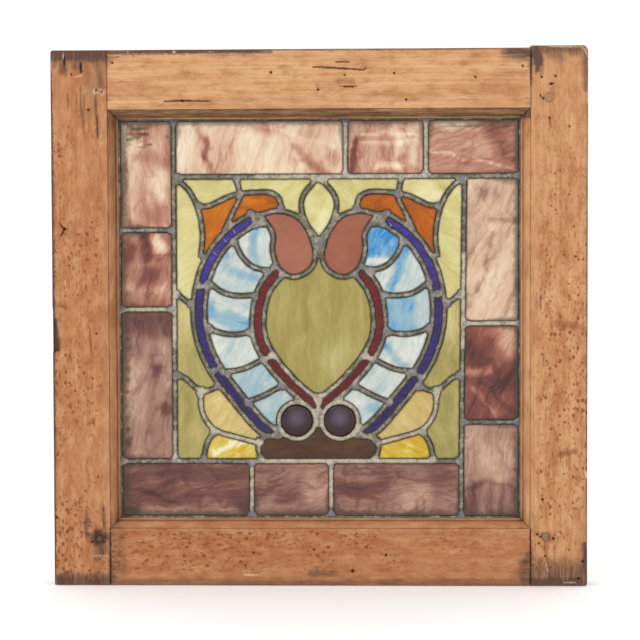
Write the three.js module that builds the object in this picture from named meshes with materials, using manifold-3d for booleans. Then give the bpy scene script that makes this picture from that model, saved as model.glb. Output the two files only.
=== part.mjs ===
// A leaded glass window in its old pine sash, standing upright.
// Millimetres, +Z up. The front faces -Y, X runs to the right seen from the front,
// and the origin is on the underside of the bottom rail, at its middle.
import * as THREE from 'three';
import { mergeVertices } from 'three/addons/utils/BufferGeometryUtils.js';
import Module from 'manifold-3d';

const wasm = await Module();
wasm.setup();

// The sash: two stiles of full height with two rails between them.
const sashWidth = 534;
const sashThickness = 35;
const railTop = 535.5;          // the top rail and the left stile end here
const rightStileRise = 2;       // the right stile's end stands this far above the rail
const stileFace = 56.4;         // width of a member's flat front face
const topRailFace = 59;
const bottomRailFace = 57;
const fit = 0.3;                // clearance between neighbouring pieces

// The moulding worked on the inner edges: a quirk, an ovolo and a fillet.
const quirkDepth = 1.2;
const ovoloWidth = 6.8;
const ovoloDepth = 7.4;
const filletDepth = 10;
const mouldingWidth = 9.2;
const ovoloSteps = 6;
const mouldingRoot = 3;         // how far a moulded strip is sunk into its member

// The rebate behind the moulding, and the putty bead in it.
const rebateDepth = 14;         // from the front face to the back of the lip
const rebateWidth = 7;
const puttyBackDepth = 34;
const puttyToe = 0.8;           // the bead's thin edge on the glass, and its height there

// Mortise and tenon joints, right through the stiles.
const tenonThickness = 11;
const tenonHeight = 34;
const tenonInset = 12;          // from the rail's outer edge
const cutPast = 20;             // how far a mortise's cutter reaches beyond the stile

// The leaded panel.
const cameWidth = 5;
const cameDepth = 6;
const panelFront = 14.3;        // from the sash's front face to the lead
const borderCameWidth = 8;
const borderCameShown = 2.4;    // what the moulding leaves visible
const glassThickness = 3;
const poolRadius = 5;           // the broad pools of solder, where many cames meet
const poolSides = 8;
const chordError = 0.4;         // how far a curve's straight steps may leave the curve

// The field inside the mauve border, drawn out of square by the hand that made it.
const fieldLeft = -146;
const fieldRightTop = 145.6;
const fieldRightFoot = 142.2;
const fieldTop = 409.6;
const fieldFoot = 123.4;
const lean = 1.7;               // the design's axis moves this far left from top to foot

// Jewels, the round domed pieces at the foot of the design.
const jewelOffset = 21.6;       // from the axis
const jewelHeight = 164.3;
const jewelRing = 18.6;         // radius of the ring's centre line
const jewelSeat = jewelRing - cameWidth / 2;
const jewelDome = 3.6;
const jewelSteps = 20;
const domeSteps = 5;

// The two ribbons run between a pair of cames, this far either side of the centre line.
const ribbonHalf = 5.9;
const ribbonTipHalf = 2.4;
const ribbonTaper = 0.93;       // the blue one narrows after this part of its length

const COLOURS = {
  wood: 0xc88f5e, lead: 0x8a8880, putty: 0x8f8a78, mauve: 0xb58a7c, ground: 0xcbc580, orange: 0xc27212,
  terracotta: 0xa9654f, petal: 0xcfe0e2, blue: 0x3a2a86, olive: 0xb5aa62, jewel: 0x4a3540, brown: 0x65432a,
  straw: 0xd9c478, yellow: 0xe0c048,
};

const frontY = -sashThickness / 2;
const panelY = frontY + panelFront;
const glassY = panelY + (cameDepth - glassThickness) / 2;
const openingHalf = sashWidth / 2 - stileFace;
const openingFoot = bottomRailFace;
const openingTop = railTop - topRailFace;
const openingMiddle = (openingFoot + openingTop) / 2;
const sightHalf = openingHalf - mouldingWidth;
const borderLap = borderCameWidth - borderCameShown;
const panelHalf = sightHalf + borderLap;
const panelFoot = openingFoot + mouldingWidth - borderLap;
const panelTop = openingTop - mouldingWidth + borderLap;

// ---- Solids from three.js geometry, joined and cut ----

function solid(geometry) {
  const bare = geometry.index ? geometry.clone() : geometry;
  bare.deleteAttribute('normal');
  bare.deleteAttribute('uv');
  const merged = mergeVertices(bare, 1e-4);
  return new wasm.Manifold(new wasm.Mesh({
    numProp: 3,
    vertProperties: merged.attributes.position.array,
    triVerts: new Uint32Array(merged.index.array),
  }));
}

function joined(solids) {
  return solids.reduce((whole, next) => whole.add(next));
}

function geometryOf(manifold) {
  const mesh = manifold.getMesh();
  const geometry = new THREE.BufferGeometry();
  geometry.setAttribute('position', new THREE.BufferAttribute(mesh.vertProperties, 3));
  geometry.setIndex(new THREE.BufferAttribute(mesh.triVerts, 1));
  geometry.computeVertexNormals();
  return geometry;
}

function block(x0, x1, y0, y1, z0, z1) {
  const box = new THREE.BoxGeometry(x1 - x0, y1 - y0, z1 - z0);
  box.translate((x0 + x1) / 2, (y0 + y1) / 2, (z0 + z1) / 2);
  return solid(box);
}

// A flat outline in the window's plane, made solid from its front at y backwards.
function plate(shape, y, depth) {
  const options = { depth, bevelEnabled: false, curveSegments: jewelSteps / 2 };
  const geometry = new THREE.ExtrudeGeometry(shape, options);
  geometry.rotateX(Math.PI / 2);
  geometry.translate(0, y + depth, 0);
  return solid(geometry);
}

function pad(point, radius, y, depth) {
  const disc = new THREE.CylinderGeometry(radius, radius, depth, poolSides);
  disc.rotateY(Math.PI / poolSides);
  disc.translate(point.x, y + depth / 2, point.y);
  return solid(disc);
}

// ---- Sash members ----

// The edge of a member, across its inner side: s runs into the opening, t back from the front face.
function mouldingOutline() {
  const outline = [[-mouldingRoot, sashThickness - fit], [mouldingWidth - rebateWidth, sashThickness - fit]];
  outline.push([mouldingWidth - rebateWidth, rebateDepth], [mouldingWidth, rebateDepth]);
  outline.push([mouldingWidth, filletDepth], [ovoloWidth, filletDepth]);
  for (let i = 0; i <= ovoloSteps; i += 1) {
    const turn = (i / ovoloSteps) * Math.PI / 2;
    outline.push([ovoloWidth * Math.cos(turn), quirkDepth + ovoloDepth * (1 - Math.sin(turn))]);
  }
  outline.push([-mouldingRoot, quirkDepth]);
  return outline;
}

// The moulded strip for an edge of the given length, its ends cut to the mitre.
// It runs along +Z from 0, with s along +X.
function mouldingStrip(length) {
  const shape = new THREE.Shape(mouldingOutline().map(([s, t]) => new THREE.Vector2(s, frontY + t)));
  const geometry = new THREE.ExtrudeGeometry(shape, { depth: length, bevelEnabled: false });
  const place = geometry.attributes.position;
  for (let i = 0; i < place.count; i += 1) {
    const cut = Math.max(place.getX(i), 0);
    const z = place.getZ(i);
    place.setZ(i, z > length / 2 ? z - cut : z + cut);
  }
  return geometry;
}

// The stiles reach the outline of the opening, and the rails stop a clearance short of them.
const tenons = [
  [bottomRailFace - tenonInset - tenonHeight, bottomRailFace - tenonInset],
  [openingTop + tenonInset, openingTop + tenonInset + tenonHeight],
];

function stile(side, top) {
  const inner = side * openingHalf;
  const outer = side * sashWidth / 2;
  const body = block(Math.min(inner, outer), Math.max(inner, outer), frontY, -frontY, 0, top);
  const length = openingTop - openingFoot;
  const strip = mouldingStrip(length);
  if (side > 0) strip.rotateY(Math.PI).translate(0, 0, length);
  strip.translate(inner, 0, openingFoot);
  const mortises = tenons.map(([z0, z1]) => block(
    Math.min(inner, outer) - cutPast, Math.max(inner, outer) + cutPast,
    -tenonThickness / 2 - fit, tenonThickness / 2 + fit, z0 - fit, z1 + fit,
  ));
  return mortises.reduce((whole, hole) => whole.subtract(hole), body.add(solid(strip)));
}

function rail(z0, z1, edge, [tenonFoot, tenonTop]) {
  const reach = openingHalf - fit;
  const body = block(-reach, reach, frontY, -frontY, z0, z1);
  const strip = mouldingStrip(reach * 2);
  const up = edge === z1;
  strip.rotateY(up ? -Math.PI / 2 : Math.PI / 2);
  strip.translate(up ? reach : -reach, 0, edge);
  const length = sashWidth / 2;
  const tongue = block(-length, length, -tenonThickness / 2, tenonThickness / 2, tenonFoot, tenonTop);
  return joined([body, solid(strip), tongue]);
}

// The putty bead: a triangle in section, turned into a ring of four straight runs.
function puttyBead() {
  const wall = rebateWidth - fit;
  const front = panelFront + cameDepth + fit;
  const half = openingHalf - mouldingWidth;
  const halfHeight = (openingTop - openingFoot) / 2 - mouldingWidth;
  const toe = half + puttyToe;
  const outer = half + wall;
  const section = [[outer, front], [outer, puttyBackDepth], [toe, front + puttyToe], [toe, front]];
  const corner = Math.SQRT2;
  const profile = [...section, section[0]].map(([r, t]) => new THREE.Vector2(r * corner, t));
  const ring = new THREE.LatheGeometry(profile, 4, Math.PI / 4);
  const place = ring.attributes.position;
  for (let i = 0; i < place.count; i += 1) {
    const z = place.getZ(i);
    place.setZ(i, z + Math.sign(z) * (halfHeight - half));
  }
  ring.translate(0, frontY, openingMiddle);
  return solid(ring);
}

// ---- The design in lead ----

// Lines are drawn on one side as [distance from the axis, height] and repeated on the other.
const SIDES = [[-1, 'left'], [1, 'right']];

function axisAt(height) {
  return -lean * (fieldTop - height) / (fieldTop - fieldFoot);
}

function across(side, [distance, height]) {
  return new THREE.Vector2(axisAt(height) + side * distance, height);
}

const LINES = {
  cornerCurve: [[146, 409.6], [130.5, 396], [120.5, 375], [116.7, 349], [119, 329]],
  branch: [[120.5, 380], [111, 380], [100, 385.5], [85, 391.5], [66, 394], [48, 393.5], [40, 388.5],
    [38, 376]],
  leafTop: [[83, 409.6], [79.5, 392.5]],
  leafVein: [[77.5, 391.5], [95, 356.5]],
  almond: [[0, 409.6], [14.5, 393], [18, 382], [13.5, 364], [0, 345]],
  comma: [[59, 371], [49, 374.5], [37.5, 375], [23, 370.5], [11.5, 358], [4.5, 340], [3, 328], [7, 318],
    [14.5, 311.5], [24.5, 308.5], [34.5, 311.5], [42, 319.5], [47, 337.5], [45.5, 350.5], [52, 363],
    [59, 371]],
  petal12: [[86, 348], [77, 329], [66, 319], [49, 314.5]],
  petal23: [[113, 306], [97, 293.5], [80, 290], [61, 291]],
  petal34: [[114, 259.5], [100, 253], [84, 251], [65.5, 254]],
  petal45: [[99, 213.5], [77, 216], [56, 226]],
  petal56: [[74, 181.5], [54, 190], [34.5, 200.5]],
  sideLink: [[146, 295.5], [135, 286], [125.5, 279]],
  lowerLink: [[145.5, 211], [134, 207.5], [125, 198.5], [117, 194.5], [108, 195.5], [98, 201]],
  kidney: [[117.5, 195], [118.5, 178], [113, 163.5], [104, 154.5], [77, 146], [60, 141.5]],
  cornerPiece: [[104, 154.5], [112.5, 141], [116, 123.4]],
  baseSide: [[60, 142], [61, 136], [57, 123.4]],
  baseTop: [[60, 142], [52, 148], [34, 150]],
  ribbonHead: [[68, 373], [58.5, 371]],
  ribbonEnd: [[68, 373], [63, 362.5], [51, 361.5]],
};
const POOLS = [[62, 368], [59, 143], [118, 194]];
const DROP = [[0, 192], [0, 157]];   // down the axis from the teardrop's point, between the jewels
const BLUE_RIBBON = [[65, 368], [71.5, 363.7], [87.2, 353.2], [102, 336.8], [113, 316.5], [119.5, 290.5],
  [120.5, 267.5], [116.5, 244.5], [105.5, 218.5], [84.5, 190.5], [68.5, 171], [57, 158.5], [47, 152.5],
  [36.5, 150]];
const RED_RIBBON = [[40.5, 315.5], [54, 298], [60.5, 275], [60, 250], [50, 228], [28, 201.5], [3, 180]];
// Where the border's pieces meet, along each of its four sides.
const BORDER_JOINTS = { top: [26.6, 107], foot: [-68.7, 11.2], left: [356.2, 276.6], right: [262, 162.8] };
// Heights of the cames that cross the ribbons.
const BLUE_BREAKS = { left: [300, 215.5], right: [292, 211] };
const RED_BREAKS = { left: [228], right: [228] };

// Points along a smooth curve, with no more of them than the chord error asks for.
function smooth(points) {
  if (points.length === 2) return points;
  const spots = points.map((p) => new THREE.Vector3(p.x, p.y, 0));
  const curve = new THREE.CatmullRomCurve3(spots, false, 'centripetal');
  const fine = curve.getSpacedPoints(Math.ceil(curve.getLength() / 1.5));
  return fine.map((p) => new THREE.Vector2(p.x, p.y));
}

function thinned(points, error = chordError) {
  const [first, last] = [points[0], points[points.length - 1]];
  const span = last.clone().sub(first);
  const length = Math.max(span.length(), 1e-6);
  let far = 0;
  let at = 0;
  points.forEach((p, i) => {
    const away = Math.abs(p.clone().sub(first).cross(span)) / length;
    const off = span.length() > 1e-3 ? away : p.distanceTo(first);
    if (off > far) [far, at] = [off, i];
  });
  if (far < error || at === 0 || at === points.length - 1) return [first, last];
  return [...thinned(points.slice(0, at + 1), error).slice(0, -1), ...thinned(points.slice(at), error)];
}

function normalAt(points, i) {
  const ahead = points[Math.min(i + 1, points.length - 1)];
  const behind = points[Math.max(i - 1, 0)];
  const along = ahead.clone().sub(behind).normalize();
  return new THREE.Vector2(-along.y, along.x);
}

function offset(points, distance) {
  const last = points.length - 1;
  return points.map((p, i) => p.clone().addScaledVector(normalAt(points, i), distance(i / last)));
}

function ribbonGap(part) {
  if (part < ribbonTaper) return ribbonHalf;
  return THREE.MathUtils.lerp(ribbonHalf, ribbonTipHalf, (part - ribbonTaper) / (1 - ribbonTaper));
}

// A cross came over the ribbon where its centre line passes a height.
function crossing(centre, height) {
  const i = centre.findIndex((p, k) => k > 0 && (p.y - height) * (centre[k - 1].y - height) <= 0);
  const reach = normalAt(centre, i).multiplyScalar(ribbonHalf);
  return [centre[i].clone().add(reach), centre[i].clone().sub(reach)];
}

function ribbonLines(side, points, gap, breaks) {
  const centre = smooth(points.map((p) => across(side, p)));
  const edges = [1, -1].map((sign) => offset(centre, (part) => sign * gap(part)));
  return [...edges, ...breaks.map((height) => crossing(centre, height))];
}

function fieldLines() {
  const lines = [];
  for (const [side, name] of SIDES) {
    for (const points of Object.values(LINES)) lines.push(smooth(points.map((p) => across(side, p))));
    lines.push(...ribbonLines(side, BLUE_RIBBON, ribbonGap, BLUE_BREAKS[name]));
    lines.push(...ribbonLines(side, RED_RIBBON, () => ribbonHalf, RED_BREAKS[name]));
  }
  lines.push(DROP.map((p) => across(1, p)));
  return lines;
}

// The four long cames round the field, each running on past one corner to the panel's edge,
// and the short ones that part the border.
function borderLines() {
  const rightAt = (z) => THREE.MathUtils.mapLinear(z, fieldFoot, fieldTop, fieldRightFoot, fieldRightTop);
  const lines = [
    [[fieldLeft, panelTop], [fieldLeft, fieldFoot]],
    [[-panelHalf, fieldFoot], [fieldRightFoot, fieldFoot]],
    [[fieldRightFoot, panelFoot], [fieldRightFoot, fieldFoot]],
    [[fieldRightFoot, fieldFoot], [fieldRightTop, fieldTop]],
    [[fieldLeft, fieldTop], [panelHalf, fieldTop]],
  ];
  for (const x of BORDER_JOINTS.top) lines.push([[x, fieldTop], [x, panelTop]]);
  for (const x of BORDER_JOINTS.foot) lines.push([[x, panelFoot], [x, fieldFoot]]);
  for (const z of BORDER_JOINTS.left) lines.push([[-panelHalf, z], [fieldLeft, z]]);
  for (const z of BORDER_JOINTS.right) lines.push([[rightAt(z), z], [panelHalf, z]]);
  return lines.map((line) => line.map(([x, z]) => new THREE.Vector2(x, z)));
}

function strip(line, halfWidth) {
  const points = thinned(line);
  const edge = (sign) => offset(points, () => sign * halfWidth);
  return new THREE.Shape([...edge(1), ...edge(-1).reverse()]);
}

function ringShape(radius, halfWidth, centre) {
  const shape = new THREE.Shape().absarc(centre.x, centre.y, radius + halfWidth, 0, Math.PI * 2);
  shape.holes.push(new THREE.Path().absarc(centre.x, centre.y, radius - halfWidth, 0, Math.PI * 2));
  return shape;
}

function rectangle(half, foot, top) {
  return [[-half, foot], [half, foot], [half, top], [-half, top]].map(([x, z]) => new THREE.Vector2(x, z));
}

const jewelCentres = [-1, 1].map((side) => across(side, [jewelOffset, jewelHeight]));

// The whole net, its cames this much wider than drawn, from its front at y backwards.
function leadNet(grow, y, depth) {
  const halfWidth = cameWidth / 2 + grow;
  const inner = sightHalf - borderCameShown - grow;
  const border = new THREE.Shape(rectangle(panelHalf, panelFoot, panelTop));
  const innerFoot = panelFoot + borderCameWidth + grow;
  const innerTop = panelTop - borderCameWidth - grow;
  border.holes.push(new THREE.Path(rectangle(inner, innerFoot, innerTop)));
  const field = fieldLines();
  const strips = [...field, ...borderLines()].map((line) => plate(strip(line, halfWidth), y, depth));
  const rings = jewelCentres.map((centre) => plate(ringShape(jewelRing, halfWidth, centre), y, depth));
  const spots = POOLS.flatMap((spot) => SIDES.map(([side]) => across(side, spot)));
  const pools = spots.map((spot) => pad(spot, poolRadius + grow, y, depth));
  return joined([plate(border, y, depth), ...strips, ...rings, ...pools]);
}

// ---- The glass ----

// Every piece, by a point well inside it: [name, colour, distance from the axis, height].
// Those named for both sides are found on the left and on the right.
const BOTH_SIDES = [
  ['ground_upper_sliver', 'ground', 132, 360], ['ground_top', 'ground', 108, 398],
  ['ground_inner', 'ground', 45, 402], ['ground_middle', 'ground', 135, 250],
  ['ground_lower', 'ground', 132, 160], ['leaf_outer', 'orange', 106, 368], ['leaf_inner', 'orange', 62, 384],
  ['comma', 'terracotta', 26, 340], ['petal_1', 'petal', 64, 340], ['petal_2', 'petal', 86, 313],
  ['petal_3', 'petal', 88, 272], ['petal_4', 'petal', 84, 234], ['petal_5', 'petal', 68, 205],
  ['petal_6', 'petal', 52, 178], ['ribbon_upper', 'blue', 94, 346.5], ['ribbon_middle', 'blue', 120.5, 267],
  ['kidney', 'straw', 98, 174], ['corner_yellow', 'yellow', 88, 136],
];
const SINGLE = [
  ['almond', 'ground', 0, 380], ['teardrop', 'olive', 0, 260], ['base_brown', 'brown', 0, 134],
  ['border_top_long', 'mauve', -60, 435], ['border_top_short', 'mauve', 66, 435],
  ['border_top_corner', 'mauve', 150, 435], ['border_right_upper', 'mauve', 170, 340],
  ['border_right_middle', 'mauve', 170, 210], ['border_right_lower', 'mauve', 170, 110],
  ['border_foot_right', 'mauve', 70, 95], ['border_foot_middle', 'mauve', -30, 95],
  ['border_foot_corner', 'mauve', -140, 95], ['border_left_lower', 'mauve', -172, 200],
  ['border_left_middle', 'mauve', -172, 315], ['border_left_top', 'mauve', -172, 430],
];

function jewelHoles(radius) {
  return joined(jewelCentres.map((centre) => {
    const disc = new THREE.Shape().absarc(centre.x, centre.y, radius, 0, Math.PI * 2);
    return plate(disc, panelY - 1, cameDepth + 2);
  }));
}

function cutGlass() {
  const reach = sightHalf - borderCameShown - fit;
  const edge = borderCameWidth + fit;
  const sheet = new THREE.Shape(rectangle(reach, panelFoot + edge, panelTop - edge));
  const cutter = leadNet(fit, glassY - 1, glassThickness + 2).add(jewelHoles(jewelRing));
  return plate(sheet, glassY, glassThickness).subtract(cutter).decompose();
}

// Whether a line straight through the window at a point meets the piece.
function covers(geometry, x, z) {
  const probe = new THREE.Raycaster(new THREE.Vector3(x, -100, z), new THREE.Vector3(0, 1, 0));
  const mesh = new THREE.Mesh(geometry, new THREE.MeshBasicMaterial({ side: THREE.DoubleSide }));
  return probe.intersectObject(mesh).length > 0;
}

function jewel(centre) {
  const radius = jewelSeat - fit;
  const profile = [new THREE.Vector2(0, -glassThickness), new THREE.Vector2(radius, -glassThickness)];
  for (let i = 0; i <= domeSteps; i += 1) {
    const turn = (i / domeSteps) * Math.PI / 2;
    profile.push(new THREE.Vector2(radius * Math.cos(turn), jewelDome * Math.sin(turn)));
  }
  profile[profile.length - 1].x = 0;
  const geometry = new THREE.LatheGeometry(profile, jewelSteps);
  geometry.rotateX(Math.PI);
  geometry.translate(centre.x, glassY, centre.y);
  return geometry;
}

// ---- The window ----

const leadedWindow = new THREE.Group();

function material(colour) {
  const glass = !['wood', 'lead', 'putty'].includes(colour);
  return new THREE.MeshStandardMaterial({
    color: COLOURS[colour],
    roughness: glass ? 0.12 : 0.6,
    metalness: colour === 'lead' ? 0.7 : 0,
  });
}

function put(name, colour, geometry) {
  const mesh = new THREE.Mesh(geometry, material(colour));
  mesh.name = name;
  leadedWindow.add(mesh);
}

put('left_stile', 'wood', geometryOf(stile(-1, railTop)));
put('right_stile', 'wood', geometryOf(stile(1, railTop + rightStileRise)));
put('top_rail', 'wood', geometryOf(rail(openingTop, railTop, openingTop, tenons[1])));
put('bottom_rail', 'wood', geometryOf(rail(0, openingFoot, openingFoot, tenons[0])));
put('putty_bead', 'putty', geometryOf(puttyBead()));
put('lead_net', 'lead', geometryOf(leadNet(0, panelY, cameDepth).subtract(jewelHoles(jewelSeat))));

const pieces = cutGlass().map(geometryOf);
function putGlass(name, colour, x, z) {
  const found = pieces.find((geometry) => covers(geometry, x, z));
  if (!found) throw new Error(`no glass at ${name}`);
  put(name, colour, found);
}
for (const [name, colour, distance, height] of BOTH_SIDES) {
  putGlass(`${name}_left`, colour, across(-1, [distance, height]).x, height);
  putGlass(`${name}_right`, colour, across(1, [distance, height]).x, height);
}
for (const [name, colour, x, z] of SINGLE) putGlass(name, colour, x, z);
put('jewel_left', 'jewel', jewel(jewelCentres[0]));
put('jewel_right', 'jewel', jewel(jewelCentres[1]));

export default leadedWindow;
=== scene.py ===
"""A square leaded window in its old pine sash, with its worn wood, soldered lead and streaky glass.

Everything is built round the fixed frame: the sash's members, the lead net and each piece of glass take
their outlines from it, and are then given the surfaces that years and hand work gave the real ones, with
painted shade and highlights in some of their colours.
"""

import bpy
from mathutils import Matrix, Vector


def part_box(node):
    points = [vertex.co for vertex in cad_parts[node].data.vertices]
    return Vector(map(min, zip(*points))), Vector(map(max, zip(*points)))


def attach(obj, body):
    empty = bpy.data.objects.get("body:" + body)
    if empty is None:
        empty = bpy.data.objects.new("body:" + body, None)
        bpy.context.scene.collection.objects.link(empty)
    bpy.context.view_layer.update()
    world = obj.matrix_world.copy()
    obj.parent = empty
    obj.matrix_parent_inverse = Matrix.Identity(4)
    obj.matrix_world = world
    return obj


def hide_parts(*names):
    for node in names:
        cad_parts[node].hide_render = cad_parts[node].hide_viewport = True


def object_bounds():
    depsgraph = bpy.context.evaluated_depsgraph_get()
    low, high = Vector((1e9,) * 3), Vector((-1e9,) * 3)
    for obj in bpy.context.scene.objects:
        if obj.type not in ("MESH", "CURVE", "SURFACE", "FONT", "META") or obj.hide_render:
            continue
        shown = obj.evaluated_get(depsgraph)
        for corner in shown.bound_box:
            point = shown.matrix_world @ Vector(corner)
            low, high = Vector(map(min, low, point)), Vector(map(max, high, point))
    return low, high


bl_info = {
    "name": "Leaded window",
    "version": (1, 0, 0),
    "blender": (4, 5, 0),
    "location": "View3D > Sidebar > Leaded window",
    "description": "Builds an old leaded window in its pine sash around a fixed frame",
    "category": "Object",
}

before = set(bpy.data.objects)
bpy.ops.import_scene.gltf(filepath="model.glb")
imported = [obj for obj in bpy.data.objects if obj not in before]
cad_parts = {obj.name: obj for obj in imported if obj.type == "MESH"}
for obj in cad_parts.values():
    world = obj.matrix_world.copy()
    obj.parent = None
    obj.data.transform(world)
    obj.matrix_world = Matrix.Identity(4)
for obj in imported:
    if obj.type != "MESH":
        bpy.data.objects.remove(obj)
CAD_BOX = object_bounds()

import functools
import math

import bmesh
import bpy
import numpy as np
from bpy.props import FloatProperty, FloatVectorProperty, IntProperty, PointerProperty
from mathutils import Matrix, Vector
from mathutils.geometry import delaunay_2d_cdt
from mathutils.kdtree import KDTree

MM = 0.001


def linear(code):
    """A colour's linear red, green and blue from its sRGB hex code."""
    parts = [int(code[i:i + 2], 16) / 255 for i in (0, 2, 4)]
    return tuple(c / 12.92 if c <= 0.04045 else ((c + 0.055) / 1.055) ** 2.4 for c in parts)


def rgba(code):
    """A colour for a node's socket, opaque."""
    return (*linear(code), 1.0)


# ---- The settings a user would change ----

class SashSettings(bpy.types.PropertyGroup):
    stile_face: FloatProperty(
        name="Stile face", description="Width of each stile's flat face", default=56.4 * MM, unit="LENGTH")
    top_face: FloatProperty(
        name="Top rail face", description="Height of the top rail's flat face",
        default=59.0 * MM, unit="LENGTH")
    foot_face: FloatProperty(
        name="Bottom rail face", description="Height of the bottom rail's flat face",
        default=57.0 * MM, unit="LENGTH")
    fit: FloatProperty(
        name="Fit", description="The open line left at the joints", default=0.3 * MM, unit="LENGTH")
    moulding_width: FloatProperty(
        name="Moulding width", description="How far the moulding stands into the opening",
        default=9.2 * MM, unit="LENGTH")
    quirk_depth: FloatProperty(
        name="Quirk depth", description="The step down from the face to the ovolo",
        default=1.2 * MM, unit="LENGTH")
    ovolo_width: FloatProperty(
        name="Ovolo width", description="Width of the rounded moulding", default=6.8 * MM, unit="LENGTH")
    ovolo_depth: FloatProperty(
        name="Ovolo depth", description="Depth of the rounded moulding", default=7.4 * MM, unit="LENGTH")
    fillet_depth: FloatProperty(
        name="Fillet depth", description="From the face back to the flat fillet",
        default=10 * MM, unit="LENGTH")
    rebate_depth: FloatProperty(
        name="Rebate depth", description="From the face back to the rebate that holds the panel",
        default=14 * MM, unit="LENGTH")
    rebate_width: FloatProperty(
        name="Rebate width", description="How far the rebate is cut back under the moulding",
        default=7 * MM, unit="LENGTH")
    arris_radius: FloatProperty(
        name="Arris wear", description="Radius that handling has worn on the outer edges",
        default=1.1 * MM, unit="LENGTH")
    face_step: FloatProperty(
        name="Face step", description="Spacing of the mesh on the front faces",
        default=1.0 * MM, unit="LENGTH")
    tenon_thickness: FloatProperty(
        name="Tenon thickness", description="Thickness of the tenons that show in the stiles' edges",
        default=11 * MM, unit="LENGTH")
    tenon_height: FloatProperty(
        name="Tenon height", description="Height of each tenon", default=34 * MM, unit="LENGTH")
    tenon_inset: FloatProperty(
        name="Tenon inset", description="From a tenon to the rail's inner edge",
        default=12 * MM, unit="LENGTH")
    pine_light: FloatVectorProperty(
        name="Pine, light", description="The wood between the growth lines", subtype="COLOR",
        default=linear("D8AA7C"), min=0, max=1)
    pine_dark: FloatVectorProperty(
        name="Pine, dark", description="The growth lines and the darker boards", subtype="COLOR",
        default=linear("C48C56"), min=0, max=1)


class LeadSettings(bpy.types.PropertyGroup):
    crown: FloatProperty(
        name="Crown", description="Height of a came's rounded face above the glass",
        default=1.6 * MM, unit="LENGTH")
    lip: FloatProperty(
        name="Lip", description="Thickness of the came's edge on the glass", default=0.5 * MM, unit="LENGTH")
    half_width: FloatProperty(
        name="Half width", description="Half the width of a came's face", default=2.5 * MM, unit="LENGTH")
    pool_small: FloatProperty(
        name="Smallest pool", description="Radius of the smallest soldered joint",
        default=3.3 * MM, unit="LENGTH")
    pool_large: FloatProperty(
        name="Largest pool", description="Radius of the largest soldered joint",
        default=4.5 * MM, unit="LENGTH")
    step: FloatProperty(
        name="Step", description="Spacing of the mesh on the cames", default=1.4 * MM, unit="LENGTH")
    seed: IntProperty(
        name="Seed", description="Chooses how the soldered joints vary", default=4)


class GlassSettings(bpy.types.PropertyGroup):
    step: FloatProperty(
        name="Step", description="Spacing of the mesh on the glass", default=3 * MM, unit="LENGTH")
    wave: FloatProperty(
        name="Wave", description="How far the rolled surface rises and falls",
        default=0.14 * MM, unit="LENGTH")
    # The colour of the dark band on the glass along the cames: dirt and painted shade.
    grime_and_shade: FloatVectorProperty(
        name="Grime", description="The dirt left along the cames", subtype="COLOR",
        default=linear("433A2B"), min=0, max=1)


class StudioSettings(bpy.types.PropertyGroup):
    elevation: FloatProperty(
        name="Elevation", description="How far the camera looks down",
        default=math.radians(2.37), subtype="ANGLE")
    azimuth: FloatProperty(
        name="Azimuth", description="How far the camera stands to the right",
        default=math.radians(1.77), subtype="ANGLE")
    roll: FloatProperty(
        name="Roll", description="The camera's tilt about its own axis",
        default=math.radians(-0.19), subtype="ANGLE")
    distance: FloatProperty(
        name="Distance", description="From the camera to the middle of the sash's face",
        default=1.994, unit="LENGTH")
    key_power: FloatProperty(
        name="Key power", description="Power of the large soft light above and to the left",
        default=6.0, unit="POWER")
    shift_x: FloatProperty(
        name="Shift across", description="The lens's shift across the frame", default=0.0016)
    shift_y: FloatProperty(
        name="Shift up", description="The lens's shift up the frame", default=-0.0023)
    sky: FloatProperty(
        name="Sky", description="Strength of the white light all round", default=1.08)
    paper: FloatVectorProperty(
        name="Paper", description="Colour of the floor", subtype="COLOR",
        default=linear("FFFFFF"), min=0, max=1)


def settings():
    """The scene's own settings for the window."""
    return bpy.context.scene.leaded_window


# ---- Measures in millimetres, from the frame ----

def box_mm(node):
    """The low and high corners of a node of the frame, in millimetres."""
    low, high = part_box(node)
    return np.array(low) / MM, np.array(high) / MM


LEFT_LOW, LEFT_HIGH = box_mm("left_stile")
RIGHT_LOW, RIGHT_HIGH = box_mm("right_stile")
TOP_HIGH = box_mm("top_rail")[1]
NET_LOW, NET_HIGH = box_mm("lead_net")
FRONT_Y = LEFT_LOW[1]
THICKNESS = LEFT_HIGH[1] - LEFT_LOW[1]
GLASS_FRONT, GLASS_BACK = (corner[1] for corner in box_mm("teardrop"))
MIDDLE_Z = 266.7        # the height of the opening's middle


# ---- Smooth random fields ----

def drift(u, v, size, seed):
    """Smooth noise from -1 to 1 over two arrays of millimetres, its lumps about `size` across."""
    rows, columns = 61, 67
    grid = np.random.default_rng(seed).uniform(-1, 1, (rows, columns))
    a, b = np.asarray(u) / size, np.asarray(v) / size
    i, j = np.floor(a).astype(int), np.floor(b).astype(int)
    f, g = a - i, b - j
    f, g = f * f * (3 - 2 * f), g * g * (3 - 2 * g)

    def at(p, q):
        return grid[p % rows, q % columns]
    low = at(i, j) * (1 - f) + at(i + 1, j) * f
    high = at(i, j + 1) * (1 - f) + at(i + 1, j + 1) * f
    return low * (1 - g) + high * g


def ramp(value, start, end):
    """0 before start, 1 after end, and smooth between them."""
    part = np.clip((value - start) / (end - start), 0, 1)
    return part * part * (3 - 2 * part)


# ---- Meshes ----

CREASE = math.radians(48)       # faces that meet at a sharper turn than this keep their edge


def welded(mesh):
    """Welds a mesh's doubled points, and turns its faces outwards."""
    work = bmesh.new()
    work.from_mesh(mesh)
    bmesh.ops.remove_doubles(work, verts=work.verts, dist=4e-6)
    bmesh.ops.dissolve_degenerate(work, edges=work.edges, dist=2e-6)
    bmesh.ops.recalc_face_normals(work, faces=work.faces)
    work.to_mesh(mesh)
    work.free()
    mesh.set_sharp_from_angle(angle=CREASE)


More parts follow.
